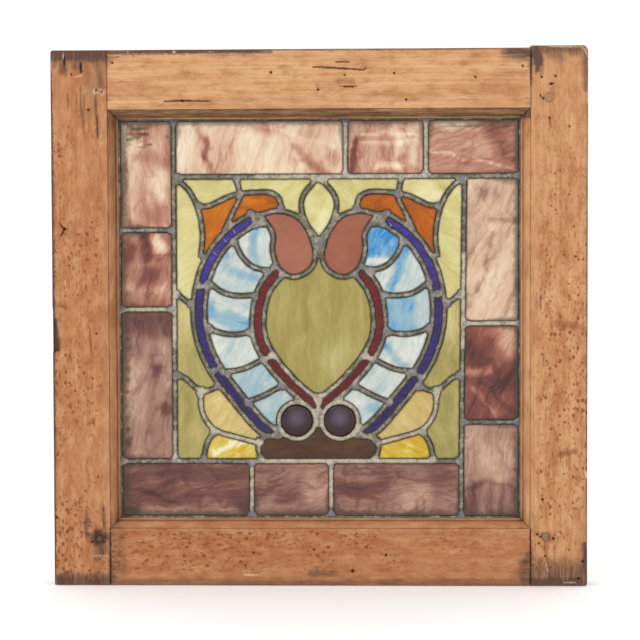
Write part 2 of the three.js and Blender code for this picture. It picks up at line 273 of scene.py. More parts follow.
def make_piece(name, points, faces, replaced, material, fields):
    """A new object from points in millimetres, riding on the frame. fields are its vertex attributes."""
    mesh = bpy.data.meshes.new(name)
    mesh.from_pydata((np.asarray(points) * MM).tolist(), [], faces)
    mesh.validate()
    for field, values in fields.items():
        values = np.asarray(values, np.float32)
        kind = "FLOAT_VECTOR" if values.ndim == 2 else "FLOAT"
        key = "vector" if values.ndim == 2 else "value"
        attribute = mesh.attributes.new(field, kind, "POINT")
        attribute.data.foreach_set(key, values.ravel())
    mesh.materials.append(material)
    mesh.shade_smooth()
    welded(mesh)
    piece = bpy.data.objects.new(name, mesh)
    bpy.context.scene.collection.objects.link(piece)
    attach(piece, "root")
    if replaced:
        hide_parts(*replaced)


def area(ring):
    """Twice the signed area of a ring of points: positive when it runs anticlockwise."""
    x, z = ring[:, 0], ring[:, 1]
    return float(np.sum(x * np.roll(z, -1) - np.roll(x, -1) * z))


def along(ring, step):
    """The ring with its points about `step` apart, its own corners kept."""
    spots = []
    for p, q in zip(ring, np.roll(ring, -1, axis=0)):
        count = max(1, round(float(np.hypot(*(q - p))) / step))
        spots += [p + (q - p) * i / count for i in range(count)]
    return np.array(spots)


def outward(ring):
    """The unit normals of an anticlockwise ring, pointing out of it."""
    way = np.roll(ring, -1, axis=0) - np.roll(ring, 1, axis=0)
    way /= np.maximum(np.hypot(way[:, 0], way[:, 1]), 1e-9)[:, None]
    return np.stack([way[:, 1], -way[:, 0]], axis=1)


def nearest(targets, points):
    """How far each point is from the nearest of the targets."""
    if not len(targets):
        return np.full(len(points), np.inf)
    tree = KDTree(len(targets))
    for i, (x, z) in enumerate(targets):
        tree.insert((x, z, 0), i)
    tree.balance()
    return np.array([tree.find((x, z, 0))[2] for x, z in points])


def inside(ring, points):
    """Which points lie inside a ring."""
    x, z = points[:, 0], points[:, 1]
    result = np.zeros(len(points), bool)
    for (x0, z0), (x1, z1) in zip(ring, np.roll(ring, -1, axis=0)):
        if z0 == z1:
            continue
        cut = ((z0 > z) != (z1 > z)) & (x < (x1 - x0) * (z - z0) / (z1 - z0) + x0)
        result ^= cut
    return result


def lattice(low, high, step):
    """Points of a triangular lattice over a rectangle."""
    rows = np.arange(low[1], high[1], step * 0.87)
    columns = np.arange(low[0], high[0], step)
    x, z = np.meshgrid(columns, rows)
    x = x + (np.arange(len(rows)) % 2)[:, None] * step / 2
    return np.stack([x.ravel(), z.ravel()], axis=1)


def fill(rings, points):
    """Triangles inside the first ring and outside the others, through the points.
    Returns the points, the triangles and each ring's place among the points."""
    spots = np.vstack([*rings, points])
    starts = np.cumsum([0] + [len(r) for r in rings])
    faces = [list(range(a, b)) for a, b in zip(starts[:-1], starts[1:])]
    out = delaunay_2d_cdt([Vector(p) for p in spots], [], faces, 1, 1e-5, True)
    place = {source: i for i, sources in enumerate(out[3]) for source in sources}
    triangles = [tuple(f) for f, holds in zip(out[2], out[5]) if len(holds) == 1]
    flat = np.array([(v[0], v[1]) for v in out[0]])
    return flat, triangles, [[place[i] for i in face] for face in faces]


# ---- The lead's outlines, read from the frame and softened ----

CORNER = math.radians(38)       # an outline that turns further than this at a point has a corner there
TIP = math.radians(112)         # a corner that turns further than this is blunted by the solder in it
PINHOLE = 20                    # square millimetres: a smaller opening is filled with solder
JOINT_REACH = 7.0               # corners nearer to one another than this belong to one joint
DOME_MOST = 4                   # the most that a piece of glass stands in front of the flat ones
FLUSH = 0.5                     # the backs of all the glass are level to within this
ALIKE = 20                      # an opening and the glass in it differ by less than this
RED_REACH = 60                  # the red ribbons lie nearer to the middle than this
RED_MIDDLE_Z = 240              # the height where the upper red ribbons end and the lower ones start


def front_rings(node):
    """The outlines of a flat piece's front face, in millimetres and anticlockwise, the outer one first."""
    net = bmesh.new()
    net.from_mesh(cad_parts[node].data)
    bmesh.ops.remove_doubles(net, verts=net.verts, dist=2e-5)
    front = min(v.co.y for v in net.verts) + 1e-4
    faces = [f for f in net.faces if all(v.co.y < front for v in f.verts)]
    in_front = set(faces)
    follow = {}
    for face in faces:
        for loop in face.loops:
            if not any(f in in_front for f in loop.edge.link_faces if f != face):
                follow.setdefault(loop.vert, []).append(loop.link_loop_next.vert)
    rings = []
    while follow:
        start = next(iter(follow))
        ring, vert = [], start
        while vert in follow:
            ring.append((vert.co.x / MM, vert.co.z / MM))
            options = follow[vert]
            beyond = options.pop()
            if not options:
                del follow[vert]
            vert = beyond
            if vert == start:
                break
        if len(ring) > 2:
            rings.append(np.array(ring))
    net.free()
    rings = [r if area(r) > 0 else r[::-1] for r in rings]
    return sorted(rings, key=area, reverse=True)


def turns(ring):
    """How far the ring turns at each of its points, in radians."""
    back = ring - np.roll(ring, 1, axis=0)
    ahead = np.roll(ring, -1, axis=0) - ring
    turn = np.arctan2(ahead[:, 1], ahead[:, 0]) - np.arctan2(back[:, 1], back[:, 0])
    return (turn + math.pi) % (2 * math.pi) - math.pi


def spaced(ring, least=0.6):
    """The ring without points that crowd the one before."""
    kept = [ring[0]]
    for point in ring[1:]:
        if np.hypot(*(point - kept[-1])) > least:
            kept.append(point)
    return np.array(kept)


def softened(ring, step, rounds=8):
    """The ring's straight steps smoothed into curves, with its sharp corners left."""
    bare = spaced(ring)
    turn = np.abs(turns(bare))
    corners = bare[(turn > CORNER) & (turn < TIP)]
    fine = along(bare, step)
    held = np.zeros(len(fine), bool)
    for corner in corners:
        held |= np.hypot(*(fine - corner).T) < 1e-6
    for _ in range(rounds):
        middle = (np.roll(fine, 1, axis=0) + np.roll(fine, -1, axis=0)) / 2
        fine = np.where(held[:, None], fine, (fine + middle) / 2)
    return fine


def blunted(ring, least=2.0):
    """The ring without its slivers: where it is narrower than `least`, the solder has filled its tip."""
    count = len(ring)
    order = np.arange(count)
    gaps = np.hypot(*(ring[:, None] - ring[None]).transpose(2, 0, 1))
    ahead = (order[None] - order[:, None]) % count
    kept = np.ones(count, bool)
    for i, j in zip(*np.nonzero((gaps < least) & (ahead > 1) & (ahead < count // 4))):
        kept[(i + 1 + np.arange(ahead[i, j] - 1)) % count] = False
    return ring[kept]


def joints(rings):
    """Where cames meet: the middle of each cluster of the openings' sharp corners, with a pool's radius."""
    corners = []
    for k, ring in enumerate(rings):
        bare = spaced(ring)
        corners += [(k, p) for p in bare[np.abs(turns(bare)) > CORNER]]
    clusters = []
    for k, corner in corners:
        close = [c for c in clusters
                 if np.hypot(*(np.mean([p for _, p in c], axis=0) - corner)) < JOINT_REACH]
        if close:
            close[0].append((k, corner))
        else:
            clusters.append([(k, corner)])
    lead = settings().lead
    rng = np.random.default_rng(lead.seed)
    found = []
    for cluster in clusters:
        radius = rng.uniform(lead.pool_small, lead.pool_large) / MM
        if len({k for k, _ in cluster}) > 1:
            found.append((np.mean([p for _, p in cluster], axis=0), radius))
    return found


def pooled(ring, pools, power=8):
    """The ring pushed clear of the pools of solder, which lap over the glass round each joint."""
    points = ring.copy()
    for centre, radius in pools:
        off = float(np.hypot(*(points - centre).T).min())
        if off > radius * 1.2 or off < 1.2 or inside(points, np.array([centre]))[0]:
            continue
        way = points - centre
        r = np.maximum(np.hypot(way[:, 0], way[:, 1]), 1e-6)
        wobble = radius * (1 + 0.08 * np.sin(3 * np.arctan2(way[:, 1], way[:, 0]) + centre[0]))
        points = centre + way * ((r ** power + wobble ** power) ** (1 / power) / r)[:, None]
    return points


@functools.lru_cache(maxsize=None)
def lead_outlines():
    """The net's outer edge, its openings once the solder has run, and its pools."""
    outer, *openings = front_rings("lead_net")
    openings = [ring for ring in openings if area(ring) > 2 * PINHOLE]
    pools = joints(openings)
    step = settings().lead.step / MM
    soft = [softened(ring, step) for ring in openings]
    run = [blunted(along(spaced(pooled(ring, pools), 0.5), step)) for ring in soft]
    return along(outer, step * 2.5), run, pools


@functools.lru_cache(maxsize=None)
def named_openings():
    """Each opening by the name of the piece of glass that sits in it."""
    _, openings, _ = lead_outlines()
    boxes = {}
    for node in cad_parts:
        low, high = box_mm(node)
        if abs(low[1] - GLASS_FRONT) < DOME_MOST and abs(high[1] - GLASS_BACK) < FLUSH:
            boxes[node] = ((low + high) / 2)[[0, 2]], (high - low)[[0, 2]]
    named = {}
    for ring in openings:
        low, high = ring.min(axis=0), ring.max(axis=0)
        middle, size = (low + high) / 2, high - low

        def unlike(node):
            centre, extent = boxes[node]
            return np.hypot(*(centre - middle)) + np.abs(extent - size).sum() / 2
        best = min(boxes, key=unlike)
        if unlike(best) < ALIKE and best not in named:
            named[best] = ring
            continue
        side = "left" if middle[0] < 0 else "right"
        if abs(middle[0]) > RED_REACH:
            named[f"ribbon_lower_{side}"] = ring
        else:
            named[f"red_ribbon_{'upper' if middle[1] > RED_MIDDLE_Z else 'lower'}_{side}"] = ring
    return named


# ---- Node trees ----

def set_inputs(tree, node, inputs):
    """Gives a node's sockets their values, or links them to other nodes or to their outputs."""
    for name, value in inputs.items():
        socket = node.inputs[name] if isinstance(name, int) else next(
            s for s in node.inputs if s.enabled and name in (s.identifier, s.name))
        if isinstance(value, bpy.types.Node):
            value = next(s for s in value.outputs if s.enabled)
        if isinstance(value, bpy.types.NodeSocket):
            tree.links.new(value, socket)
        else:
            socket.default_value = value


def add_node(tree, kind, inputs=None, stops=(), **options):
    """Adds a node with its options, its inputs' values or links, and a ramp's colour stops."""
    node = tree.nodes.new(kind)
    for option, value in options.items():
        setattr(node, option, value)
    set_inputs(tree, node, inputs or {})
    for i, (position, colour) in enumerate(stops):
        elements = node.color_ramp.elements
        stop = elements[i] if i < 2 else elements.new(position)
        stop.position = position
        stop.color = colour
    return node


def new_material(name):
    """A new material, its node tree and its Principled shader."""
    material = bpy.data.materials.new(name)
    material.use_nodes = True
    tree = material.node_tree
    shader = next(n for n in tree.nodes if n.type == "BSDF_PRINCIPLED")
    return material, tree, shader


# ---- The old pine sash ----

# Marks on the sash's face: each is a path of x and z in millimetres, half its width, and its strength.
# Most are where smoke, damp and handling have blackened the wood; the long rows along the foot darken the
# sash towards its bottom edge, and those down the outer edges darken its sides.
CHARRED = (
    ([(-266, 534), (-214, 534)], 5, 1.0), ([(-263, 529), (-214, 529)], 8, 0.9),
    ([(-229, 526), (-225, 472)], 9, 0.32), ([(-219, 528), (-217, 500)], 6, 0.55),
    ([(-237, 500), (-236.4, 470)], 1.3, 0.7), ([(-234.6, 478), (-234.2, 452)], 1.2, 0.6),
    ([(-233.5, 492), (-233.2, 472)], 1.1, 0.55), ([(-221.8, 492), (-221.2, 462)], 1.4, 0.7),
    ([(-220.7, 471), (-220.2, 447)], 1.5, 1.0), ([(-227, 491), (-227, 474)], 1.2, 0.5),
    ([(-249.7, 492), (-249.5, 475)], 0.9, 0.6), ([(-241, 492), (-241, 481)], 0.9, 0.5),
    ([(-222, 52), (-219, 36)], 8, 0.7), ([(219.8, 292), (220.4, 275)], 1.2, 0.6),
    ([(228.5, 288), (228.5, 272)], 1.2, 0.4), ([(223.5, 232), (223.5, 219)], 1.2, 0.6),
    ([(216.5, 292), (216.8, 270)], 1.3, 0.3), ([(224, 296), (224.3, 276)], 1.2, 0.3),
    ([(-234.5, 76), (-234, 48)], 2.6, 0.7), ([(-217, 80), (-216.5, 55)], 2.2, 0.65),
    ([(-200, 52), (-203, 34), (-199, 12)], 7, 0.4), ([(264.5, 42), (265, 3)], 3.5, 0.9),
    ([(214, 4), (266, 4)], 8, 1.0), ([(214, 12), (266, 12)], 15, 0.68), ([(206, 24), (204, 4)], 7, 0.75),
    ([(216, 534), (266, 534)], 6, 0.7), ([(-207, 28), (-196, 37)], 1.0, 0.5),
    ([(-208, 20), (-196, 31)], 1.0, 0.5), ([(-207, 14), (-198, 22)], 1.0, 0.5),
    ([(262, 530), (265, 505)], 5, 0.5),
    ([(186, 533), (212, 528)], 8, 0.7), ([(-255, 532), (-254, 514)], 5, 0.7),
    ([(-243, 530), (-242, 519)], 5, 0.6), ([(-222, 530), (-220, 516)], 4, 0.6),
    ([(-236.5, 526), (-236.5, 513)], 2, 0.8), ([(-212, 533.6), (-48, 534)], 3.2, 0.9),
    ([(-48, 535), (214, 535)], 1.8, 0.7), ([(190, 533), (212, 529)], 8, 0.85),
    ([(205, 528), (211, 520)], 5, 0.6), ([(216.5, 536), (218, 521)], 5.5, 1.0),
    ([(216, 522), (217.5, 513)], 3.4, 0.9), ([(226, 534), (238, 527)], 8, 0.6),
    ([(221, 524), (221, 510)], 3, 0.6), ([(220, 534), (257, 533)], 5, 0.6),
    ([(265, 529), (266, 496)], 5, 0.7), ([(-224, 48), (-217, 47)], 6, 0.95),
    ([(-221, 42), (-222, 29)], 6, 0.55), ([(-266, 4), (-212, 5)], 9, 0.78),
    ([(212, 4), (266, 4)], 10, 0.7), ([(-208, 52), (-205, 30), (-204, 8)], 7, 0.4),
    ([(209, 27), (205, 9)], 8, 0.55), ([(-8, 12), (15, 12.5)], 4.5, 0.6),
    ([(-210, 2), (210, 2)], 6, 0.5), ([(-266.5, 515), (-266.5, 6)], 2.4, 1.0),
    ([(266.5, 480), (266.5, 20)], 1.8, 0.6), ([(215, 70), (215, 30)], 2.5, 0.35),
)
# Dirt in the open joints between the members.
JOINT_DIRT = (
    ([(-210.5, 0), (-210.5, 57)], 1.2, 1.0), ([(210.5, 0), (210.5, 57)], 1.2, 1.0),
    ([(-210.5, 476), (-210.5, 535)], 0.9, 0.55), ([(210.5, 476), (210.5, 500)], 0.9, 0.5),
    ([(210.5, 498), (210.5, 536)], 1.3, 1.0), ([(-229, 50), (-217, 49)], 4.0, 0.6),
    ([(-224, 53), (-224, 43)], 4.0, 0.8), ([(-265, 266), (-263.2, 238)], 3.2, 0.8),
)
# Pale scars, where the face has been scraped or its corner chipped.
PALE = (
    ([(-254, 533), (-254, 527)], 1.3, 0.8), ([(-243.5, 508.5), (-234.5, 511)], 0.9, 0.9),
    ([(-222, 495), (-216, 493.5)], 4.2, 0.8),
    ([(-214.5, 54.2), (-208.5, 54.2)], 1.0, 0.7), ([(-229.5, 29.5), (-210.5, 29.5)], 1.0, 0.7),
    ([(-189.5, 533.4)], 1.5, 0.9), ([(-143.5, 533.4)], 1.6, 0.9), ([(-107.5, 533.4)], 1.5, 0.9),
    ([(226, 536.2), (262, 535.8)], 1.4, 0.7), ([(259, 536), (264, 533), (266.5, 526)], 2.6, 0.6),
    ([(224.5, 26.5), (228.5, 13.5)], 0.9, 0.8), ([(265, 115), (266.5, 108)], 1.7, 0.9),
    ([(241.5, 3.5), (256.5, 3.2)], 1.4, 0.7), ([(-77.5, 10.5), (-58.5, 10.5)], 1.1, 0.9),
    ([(-254.2, 307), (-253.6, 301)], 1.1, 0.9), ([(238.8, 51.8)], 1.6, 0.9),
)
# Brown stains round the nails and knots.
RUSTED = (
    ([(-206.5, 528.5), (-197.5, 528.5)], 1.4, 0.8), ([(-245, 321), (-245, 316)], 2.0, 0.9),
    ([(-229.5, 260), (-229, 245), (-227, 232), (-225.4, 228)], 1.0, 0.9),
    ([(-260, 281), (-254, 280)], 3.0, 0.8), ([(-238, 341)], 2.0, 0.9), ([(-231, 287), (-229, 284)], 2.4, 0.8),
    ([(-236, 63), (-235.5, 46)], 2.0, 0.7), ([(19, 503.5), (34, 503.5)], 3.6, 0.6),
    ([(-0.5, 499.5)], 3.2, 0.6), ([(-38, 495.5), (-7, 495.5)], 1.1, 0.6),
    ([(136, 484.5), (160, 484.5)], 1.2, 0.6), ([(238, 262), (258, 259)], 5, 0.75),
    ([(225.6, 46), (226, 31)], 2.2, 1.0), ([(240, 132), (254, 135)], 4, 0.85),
    ([(218, 52), (233, 46)], 3.2, 0.7), ([(-252, 84), (-240, 74)], 4, 0.3), ([(228.5, 485.6)], 9, 0.5),
    ([(229, 465), (229.4, 459)], 2.0, 0.8), ([(87, 484.9), (100, 485)], 1.4, 0.6),
    ([(146, 506.8), (166, 506.6)], 1.3, 0.5), ([(-218, 470), (-218, 440)], 2, 0.3),
    ([(250, 150), (250, 110)], 3, 0.3),
)
# Splits in the face: paths, and half their width.
SPLITS = (
    ([(-259, 364), (-256, 359), (-251.5, 357)], 1.0), ([(-258, 351), (-254.5, 357)], 0.9),
    ([(-153.5, 484.5), (-135, 485), (-108.5, 484.3)], 1.0),
    ([(-5.5, 517.5), (20, 516.4), (45, 514.4), (48, 517)], 1.0),
    ([(17.5, 522.5), (31.5, 522.3)], 0.8), ([(19.5, 498), (39.5, 498)], 0.8),
    ([(-236.5, 525), (-236.5, 514)], 0.9), ([(-253, 529), (-253.2, 520)], 0.8),
    ([(227.8, 499.3), (234, 500.5)], 1.0), ([(219.8, 489.6), (220.4, 486.4)], 0.8),
)
# Nail holes, worm holes and small chips: x, z and radius.
HOLES = (
    (-221.4, 496.0, 1.3), (-215.9, 494.0, 1.2), (-229.1, 476.2, 1.3), (-235.8, 514.5, 1.1),
    (-222.9, 253.1, 1.1), (-228.8, 43.3, 1.2), (-216.9, 43.3, 1.2), (-254.5, 357.8, 1.5),
    (-246, 511.5, 0.9), (-264.3, 68.1, 1.3),
    (-254, 83.8, 0.6), (-242.4, 83.3, 0.6), (-247.5, 79.7, 0.6), (-253.6, 76.7, 0.6), (-253.1, 72.1, 0.6),
    (-242.5, 74.7, 0.6), (-235.4, 77.7, 0.6), (-236.4, 71.6, 0.6), (-216.5, 75.5, 0.7), (-215.5, 61.5, 0.7),
    (-205.2, 522.8, 1.2), (-135.5, 484.7, 1.4), (-47, 512.5, 1.5), (26.2, 509.5, 1.1), (-0.2, 495.3, 1.3),
    (75.4, 511.2, 1.2), (87.3, 484.9, 1.1), (155.7, 506.8, 1.2), (202.5, 517.5, 1.3),
    (221.0, 506.4, 1.2), (230.9, 499.9, 1.2), (229.0, 465.9, 1.2), (248.8, 457.8, 1.1), (255.0, 328.9, 1.1),
    (222.3, 86.4, 1.2), (225.1, 29.8, 1.1), (234.9, 507.3, 1.2), (217, 51.5, 1.2), (220.5, 49, 1.1),
    (233.5, 47.5, 1.2), (219, 42.5, 1.1), (262.5, 24.5, 1.3), (258.5, 7.5, 1.3), (222.5, 485.7, 1.2),
    (-66.5, 32.9, 1.1), (-5.7, 36.0, 1.1), (66.2, 30.6, 1.1), (32.9, 14.4, 1.9),
)
# The splinter torn from the left stile's outer edge: heights, and how far it reaches in at each.
SPLINTER_HEIGHTS = (234.5, 235.5, 240, 262, 282)
SPLINTER_WIDTHS = (0, 8.2, 8.0, 5.5, 0)
SPLINTER_DEPTH = 4
# Pins through the corner joints: name, x, z, radius, and how dark each has gone.
PINS = (
    ("joint_pin_top_left", -218.9, 493.0, 3.2, 0.0), ("joint_pin_top_right", 228.5, 486.5, 4.4, 0.1),
    ("joint_pin_foot_left", -221.5, 46.3, 3.3, 0.85), ("joint_pin_foot_right", 225.6, 49.5, 4.0, 0.4),
)
PIN_LAP = 1.0           # how far the wood closes over a pin's rim
PIN_SEAT = 2.4          # depth of the hole modelled round it
HOLE_DEPTH = 2.2
SPLIT_DEPTH = 1.4
SCAR_DEPTH = 0.5
FACE_WAVE = 0.16        # how far the planed faces rise and fall
EDGE_WAVE = 0.12        # how far the outer edges and the ovolo do
FACE_REACH = 12         # how far back from the face its marks go
CHAR_FADES = (8, 26)    # how far back from the face the char starts to fade, and ends
TORN_DARK = 0.72        # how dark the torn wood has gone
CREASE_SHADE = 0.6       # how dark the quirk and the fillet are painted: painted shade in the creases
TENON_SUNK = 1.2        # depth of the mortise modelled round a tenon's end
TENON_BELOW = 0.35      # how far a tenon's end lies below the stile's edge
TENON_GAP = 0.25        # the line left above and below a tenon's end
TENON_SIDE = 0.15       # the line left on either side of it
END_GRAIN = (0.2, 1, 1)     # the growth lines are cut short across a tenon's end
# A tenon's end sits sunk in its mortise and is painted a little dark there: painted shade.
TENON_FIELDS = {"char": 0.25, "pale": 0, "rust": 0.2, "dark": 0, "tone": 0.5, "grime_and_shade": 0.2, "specks": 0.3}


def stroke(x, z, path, width, taper=0.0, soft=1.0):
    """How fully a stroke along a path covers each place: 1 along its middle, 0 beyond its half width.
    taper thins its ends, and soft spreads its edge."""
    lengths = [math.dist(p, q) for p, q in zip(path, path[1:] or path)]
    total, before = max(sum(lengths), 1e-9), 0.0
    best = np.full(len(x), np.inf)
    for (x0, z0), (x1, z1), length in zip(path, path[1:] or path, lengths):
        part = ((x - x0) * (x1 - x0) + (z - z0) * (z1 - z0)) / max(length ** 2, 1e-9)
        part = np.clip(part, 0, 1)
        reach = np.hypot(x - x0 - part * (x1 - x0), z - z0 - part * (z1 - z0))
        run = (before + part * length) / total
        thin = 1 - taper * (1 - np.sqrt(np.sin(math.pi * np.clip(run, 0.01, 0.99))))
        best = np.minimum(best, reach / (width * thin))
        before += length
    best = best * (1 + 0.35 * drift(x, z, max(width * 0.8, 1.5), 21))
    return 1 - ramp(best, 0.5 - 0.4 * soft, 1.05 + 0.55 * soft)


def painted(x, z, marks):
    """The strongest of several strokes at each place."""
    cover = np.zeros(len(x))
    for path, width, strength in marks:
        taper = 0.6 if width < 3 and len(path) > 1 else 0.0
        cover = np.maximum(cover, strength * stroke(x, z, path, width, taper))
    return cover


def member_rows(face):
    """A member's section as rows of c, s and t in millimetres, round from its outer edge: c across the
    face, s on into the opening, t back from the face. The moulding is a quirk, an ovolo and a fillet."""
    sash = settings().sash
    arris, step = sash.arris_radius / MM, sash.face_step / MM
    quirk, fillet, rebate = sash.quirk_depth / MM, sash.fillet_depth / MM, sash.rebate_depth / MM
    ovolo_width, ovolo_depth = sash.ovolo_width / MM, sash.ovolo_depth / MM
    reach = sash.moulding_width / MM
    lip = reach - sash.rebate_width / MM
    rows = [(arris * part, 0, 0) for part in (0, 0.07, 0.3, 0.65)]
    rows += [(c, 0, 0) for c in np.arange(arris, face - 0.8, step)]
    rows += [(face - 0.4, 0, 0), (face, 0, 0.4), (face, 0.02, quirk)]
    for angle in np.linspace(0, math.pi / 2, 11)[1:]:
        rows.append((face, ovolo_width * math.sin(angle), quirk + ovolo_depth * (1 - math.cos(angle))))
    rows += [(face, ovolo_width, fillet), (face, reach - 0.3, fillet), (face, reach, fillet + 0.3)]
    rows += [(face, reach, rebate), (face, lip, rebate), (face, lip, THICKNESS * 0.7)]
    rows += [(face, lip, THICKNESS - 0.6), (face, lip - 0.6, THICKNESS)]
    rows += [(c, 0, THICKNESS) for c in np.linspace(face, arris, 14)]
    low = (THICKNESS - sash.tenon_thickness / MM) / 2
    for t in (THICKNESS - arris, THICKNESS - low + 0.02, THICKNESS - low, THICKNESS / 2, low, low - 0.02, 6):
        rows.append((0, 0, t))
    return np.array(rows)


def stations(low, high, extra, step):
    """Where a member's sections stand along it, closer at its rounded ends and at its joints."""
    ends = np.array([0, 0.07, 0.3, 0.65, 1.0])
    places = [low + ends, high - ends, np.arange(low + 2, high - 1.5, step)]
    return np.unique(np.round(np.concatenate([*places, np.array(extra)]), 3))


def rounding(size, off):
    """How far in an edge worn to a round of this size is cut, at a distance `off` from it."""
    return size - np.sqrt(np.maximum(size ** 2 - (size - off) ** 2, 0))


def carved(x, z, t, flat, face_on):
    """Cuts the nail holes, the splits, the pins' seats, the scars and the torn splinter into the face.
    Returns the new depths, how dark each place is painted and how pale it has gone; the dark in the holes,
    the splits and the gap round each pin is painted shade."""
    # The holes, the splits and the gap round each pin are painted dark as well as cut: painted shade in them.
    dark = np.zeros(len(x))
    for hx, hz, size in HOLES:
        pit = (1 - ramp(np.hypot(x - hx, z - hz), size * 0.5, size * 1.25)) * flat
        t = t + HOLE_DEPTH * pit
        dark = np.maximum(dark, pit)
    for path, width in SPLITS:
        gap = stroke(x, z, path, width, taper=0.8, soft=0.0) * flat
        t = t + SPLIT_DEPTH * gap
        dark = np.maximum(dark, 0.9 * gap)
    for _, px, pz, size, shade in PINS:
        r = np.hypot(x - px, z - pz)
        seat = (1 - ramp(r, size - PIN_LAP, size)) * flat
        t = t + PIN_SEAT * seat
        dark = np.maximum(dark, 0.8 * shade * (1 - ramp(np.abs(r - size - 0.3), 0.5, 1.3)) * flat)
    pale = painted(x, z, PALE) * face_on
    t = t + SCAR_DEPTH * pale * flat
    width = np.interp(z, SPLINTER_HEIGHTS, SPLINTER_WIDTHS) * (1 + 0.15 * drift(x, z, 4, 61))
    torn = np.clip((width + LEFT_LOW[0] - x) / 2, 0, 1)
    t = t + np.clip(SPLINTER_DEPTH * torn - t, 0, None) * flat
    dark = np.maximum(dark, TORN_DARK * torn * (t < 8))
    return t, np.maximum(dark, painted(x, z, JOINT_DIRT) * face_on), pale


def member(face, low, high, opening, place, tone, seed, tenons, wear, corners):
    """One of the sash's four members, as a closed loft of its worn section, from low to high along it.
    place turns c and a into x and z, and corners says how round its two outer corners are worn."""
    sash = settings().sash
    fit, arris = sash.fit / MM, sash.arris_radius / MM
    rows = member_rows(face)
    cuts = [z + shift for z in np.ravel(tenons) for shift in (-0.01, 0.01)]
    along_it = stations(low, high, [*cuts, *opening], sash.face_step / MM)
    a, row = np.meshgrid(along_it, np.arange(len(rows)), indexing="ij")
    a, row = a.ravel(), row.ravel()
    c, s, t = rows[row].T
    flat = (s == 0) & (t == 0)
    room = np.minimum(a - opening[0], opening[1] - a) - fit / 2
    reach = np.clip(np.minimum(s, room), 0, None)

    # The arrises are worn round, more in some places than in others.
    radius = arris * (1 + 0.45 * drift(a, c * 0, 26, seed))
    edge = np.minimum(c, radius)
    t = np.where(flat, rounding(radius, edge), t)
    cut = rounding(wear, np.minimum(np.minimum(a - low, high - a), wear))
    t = np.clip(t, cut, THICKNESS - cut)
    for off, size in zip((a - low, high - a), corners):
        c = np.maximum(c, rounding(size, np.minimum(off, size)) * 0.8)
    c = np.maximum(c, cut)
    c = np.where(flat, c, c + EDGE_WAVE * (1 + drift(a, t, 18, seed + 3)) * (c < 0.5 * face) * (t > 2))
    for foot, head in np.reshape(tenons, (-1, 2)):
        low_t = (THICKNESS - sash.tenon_thickness / MM) / 2
        edge_c, _, edge_t = rows[row].T
        sunk = (edge_c == 0) & (edge_t >= low_t) & (edge_t <= THICKNESS - low_t)
        c = np.where(sunk & (a > foot) & (a < head), TENON_SUNK, c)

    x, z = place(c + reach, a)
    face_on = np.where(t < FACE_REACH, 1.0, 0.0)
    t = t + np.where(flat, FACE_WAVE * (1 + drift(x, z, 23, seed + 1)) * ramp(c, 0, 4), 0)
    ovolo = (s > 0) & (t < 9.5)
    t = t + np.where(ovolo, EDGE_WAVE * drift(a, s * 0, 9, seed + 5), 0)
    t, dark, pale = carved(x, z, t, flat, face_on)
    char = painted(x, z, CHARRED) * (1 - ramp(t, *CHAR_FADES))
    # The quirk and the fillet are painted dark as painted shade in the creases, and the moulding with painted
    # shade at its head, its left and its corners.
    quirk = (s > 0) & (s < 0.6) & (t < 3)
    fillet = (s > 6) & (s < 7.2) & (t > 8)
    creases = np.where(quirk | fillet, CREASE_SHADE, 0)
    grime_and_shade = (0.03 + 0.85 * moulding_shade(x, z) + creases) * (s > 0)
    y = FRONT_Y + t

    count = len(rows)
    grid = np.arange(len(x)).reshape(len(along_it), count)
    after = np.roll(grid, -1, axis=1)
    quads = np.stack([grid[:-1], after[:-1], after[1:], grid[1:]], axis=-1).reshape(-1, 4)
    faces = [*quads.tolist(), grid[0][::-1].tolist(), grid[-1].tolist()]
    fields = {
        # The grain runs along the member, and each member is cut from a place of its own in the log.
        "grain": np.stack([a + 700 * seed, c + s + 90 * seed, t + 40 * seed], axis=1),
        "char": char, "pale": pale, "rust": painted(x, z, RUSTED) * face_on, "dark": dark,
        "tone": np.full(len(x), tone), "grime_and_shade": np.clip(grime_and_shade, 0, 1),
        "specks": speckled(x, z) * face_on,
    }
    return np.stack([x, y, z], axis=1), faces, fields


def moulding_shade(x, z):
    """How dark the moulding is painted with painted shade: most at the head, under the top rail, then at the
    left and in the corners.
    It runs from 201 to 211 mm to each side, from 57 to 66 mm up at the foot and 467 to 477 mm at the head."""
    head = 0.95 * ramp(z, 464, 470)
    left = ramp(-x, 199, 203) * (0.26 + 0.4 * ramp(z, 330, 450))
    corners = ramp(np.abs(x), 190, 206) * ramp(np.abs(z - MIDDLE_Z), 186, 204)
    return np.clip(head + left + 0.5 * corners, 0, 1)


def speckled(x, z):
    """Where the finish has crazed into small brown specks: most on the right stile, above the bottom rail
    and below the top one, then along the foot and down the left stile."""
    right = ramp(x, 212, 222) * (1 - ramp(z, 455, 485)) * ramp(z, 55, 80) * (0.75 + 0.4 * drift(x, z, 30, 41))
    right *= 1 - 0.35 * ramp(z, 280, 380)
    foot = (1 - ramp(z, 50, 62)) * ramp(z, 8, 18) * (0.75 + 0.5 * drift(x, z, 24, 42))
    foot *= 1 - 0.4 * ramp(x, 20, 120)
    left = (1 - ramp(x, -222, -212)) * (0.62 + 0.5 * drift(x, z, 34, 43)) * (1 - ramp(z, 440, 480))
    return np.clip(0.12 + right + foot + left, 0, 1)


def block(low, high, rounding):
    """A closed box in millimetres with its corners eased, for a tenon's end."""
    work = bmesh.new()
    bmesh.ops.create_cube(work, size=1)
    for vert in work.verts:
        for k in range(3):
            vert.co[k] = (low[k] + high[k]) / 2 + vert.co[k] * (high[k] - low[k])
    bmesh.ops.bevel(work, geom=work.edges, offset=rounding, segments=2, affect="EDGES")
    work.verts.ensure_lookup_table()
    points = np.array([tuple(v.co) for v in work.verts])
    faces = [[v.index for v in f.verts] for f in work.faces]
    work.free()
    return points, faces


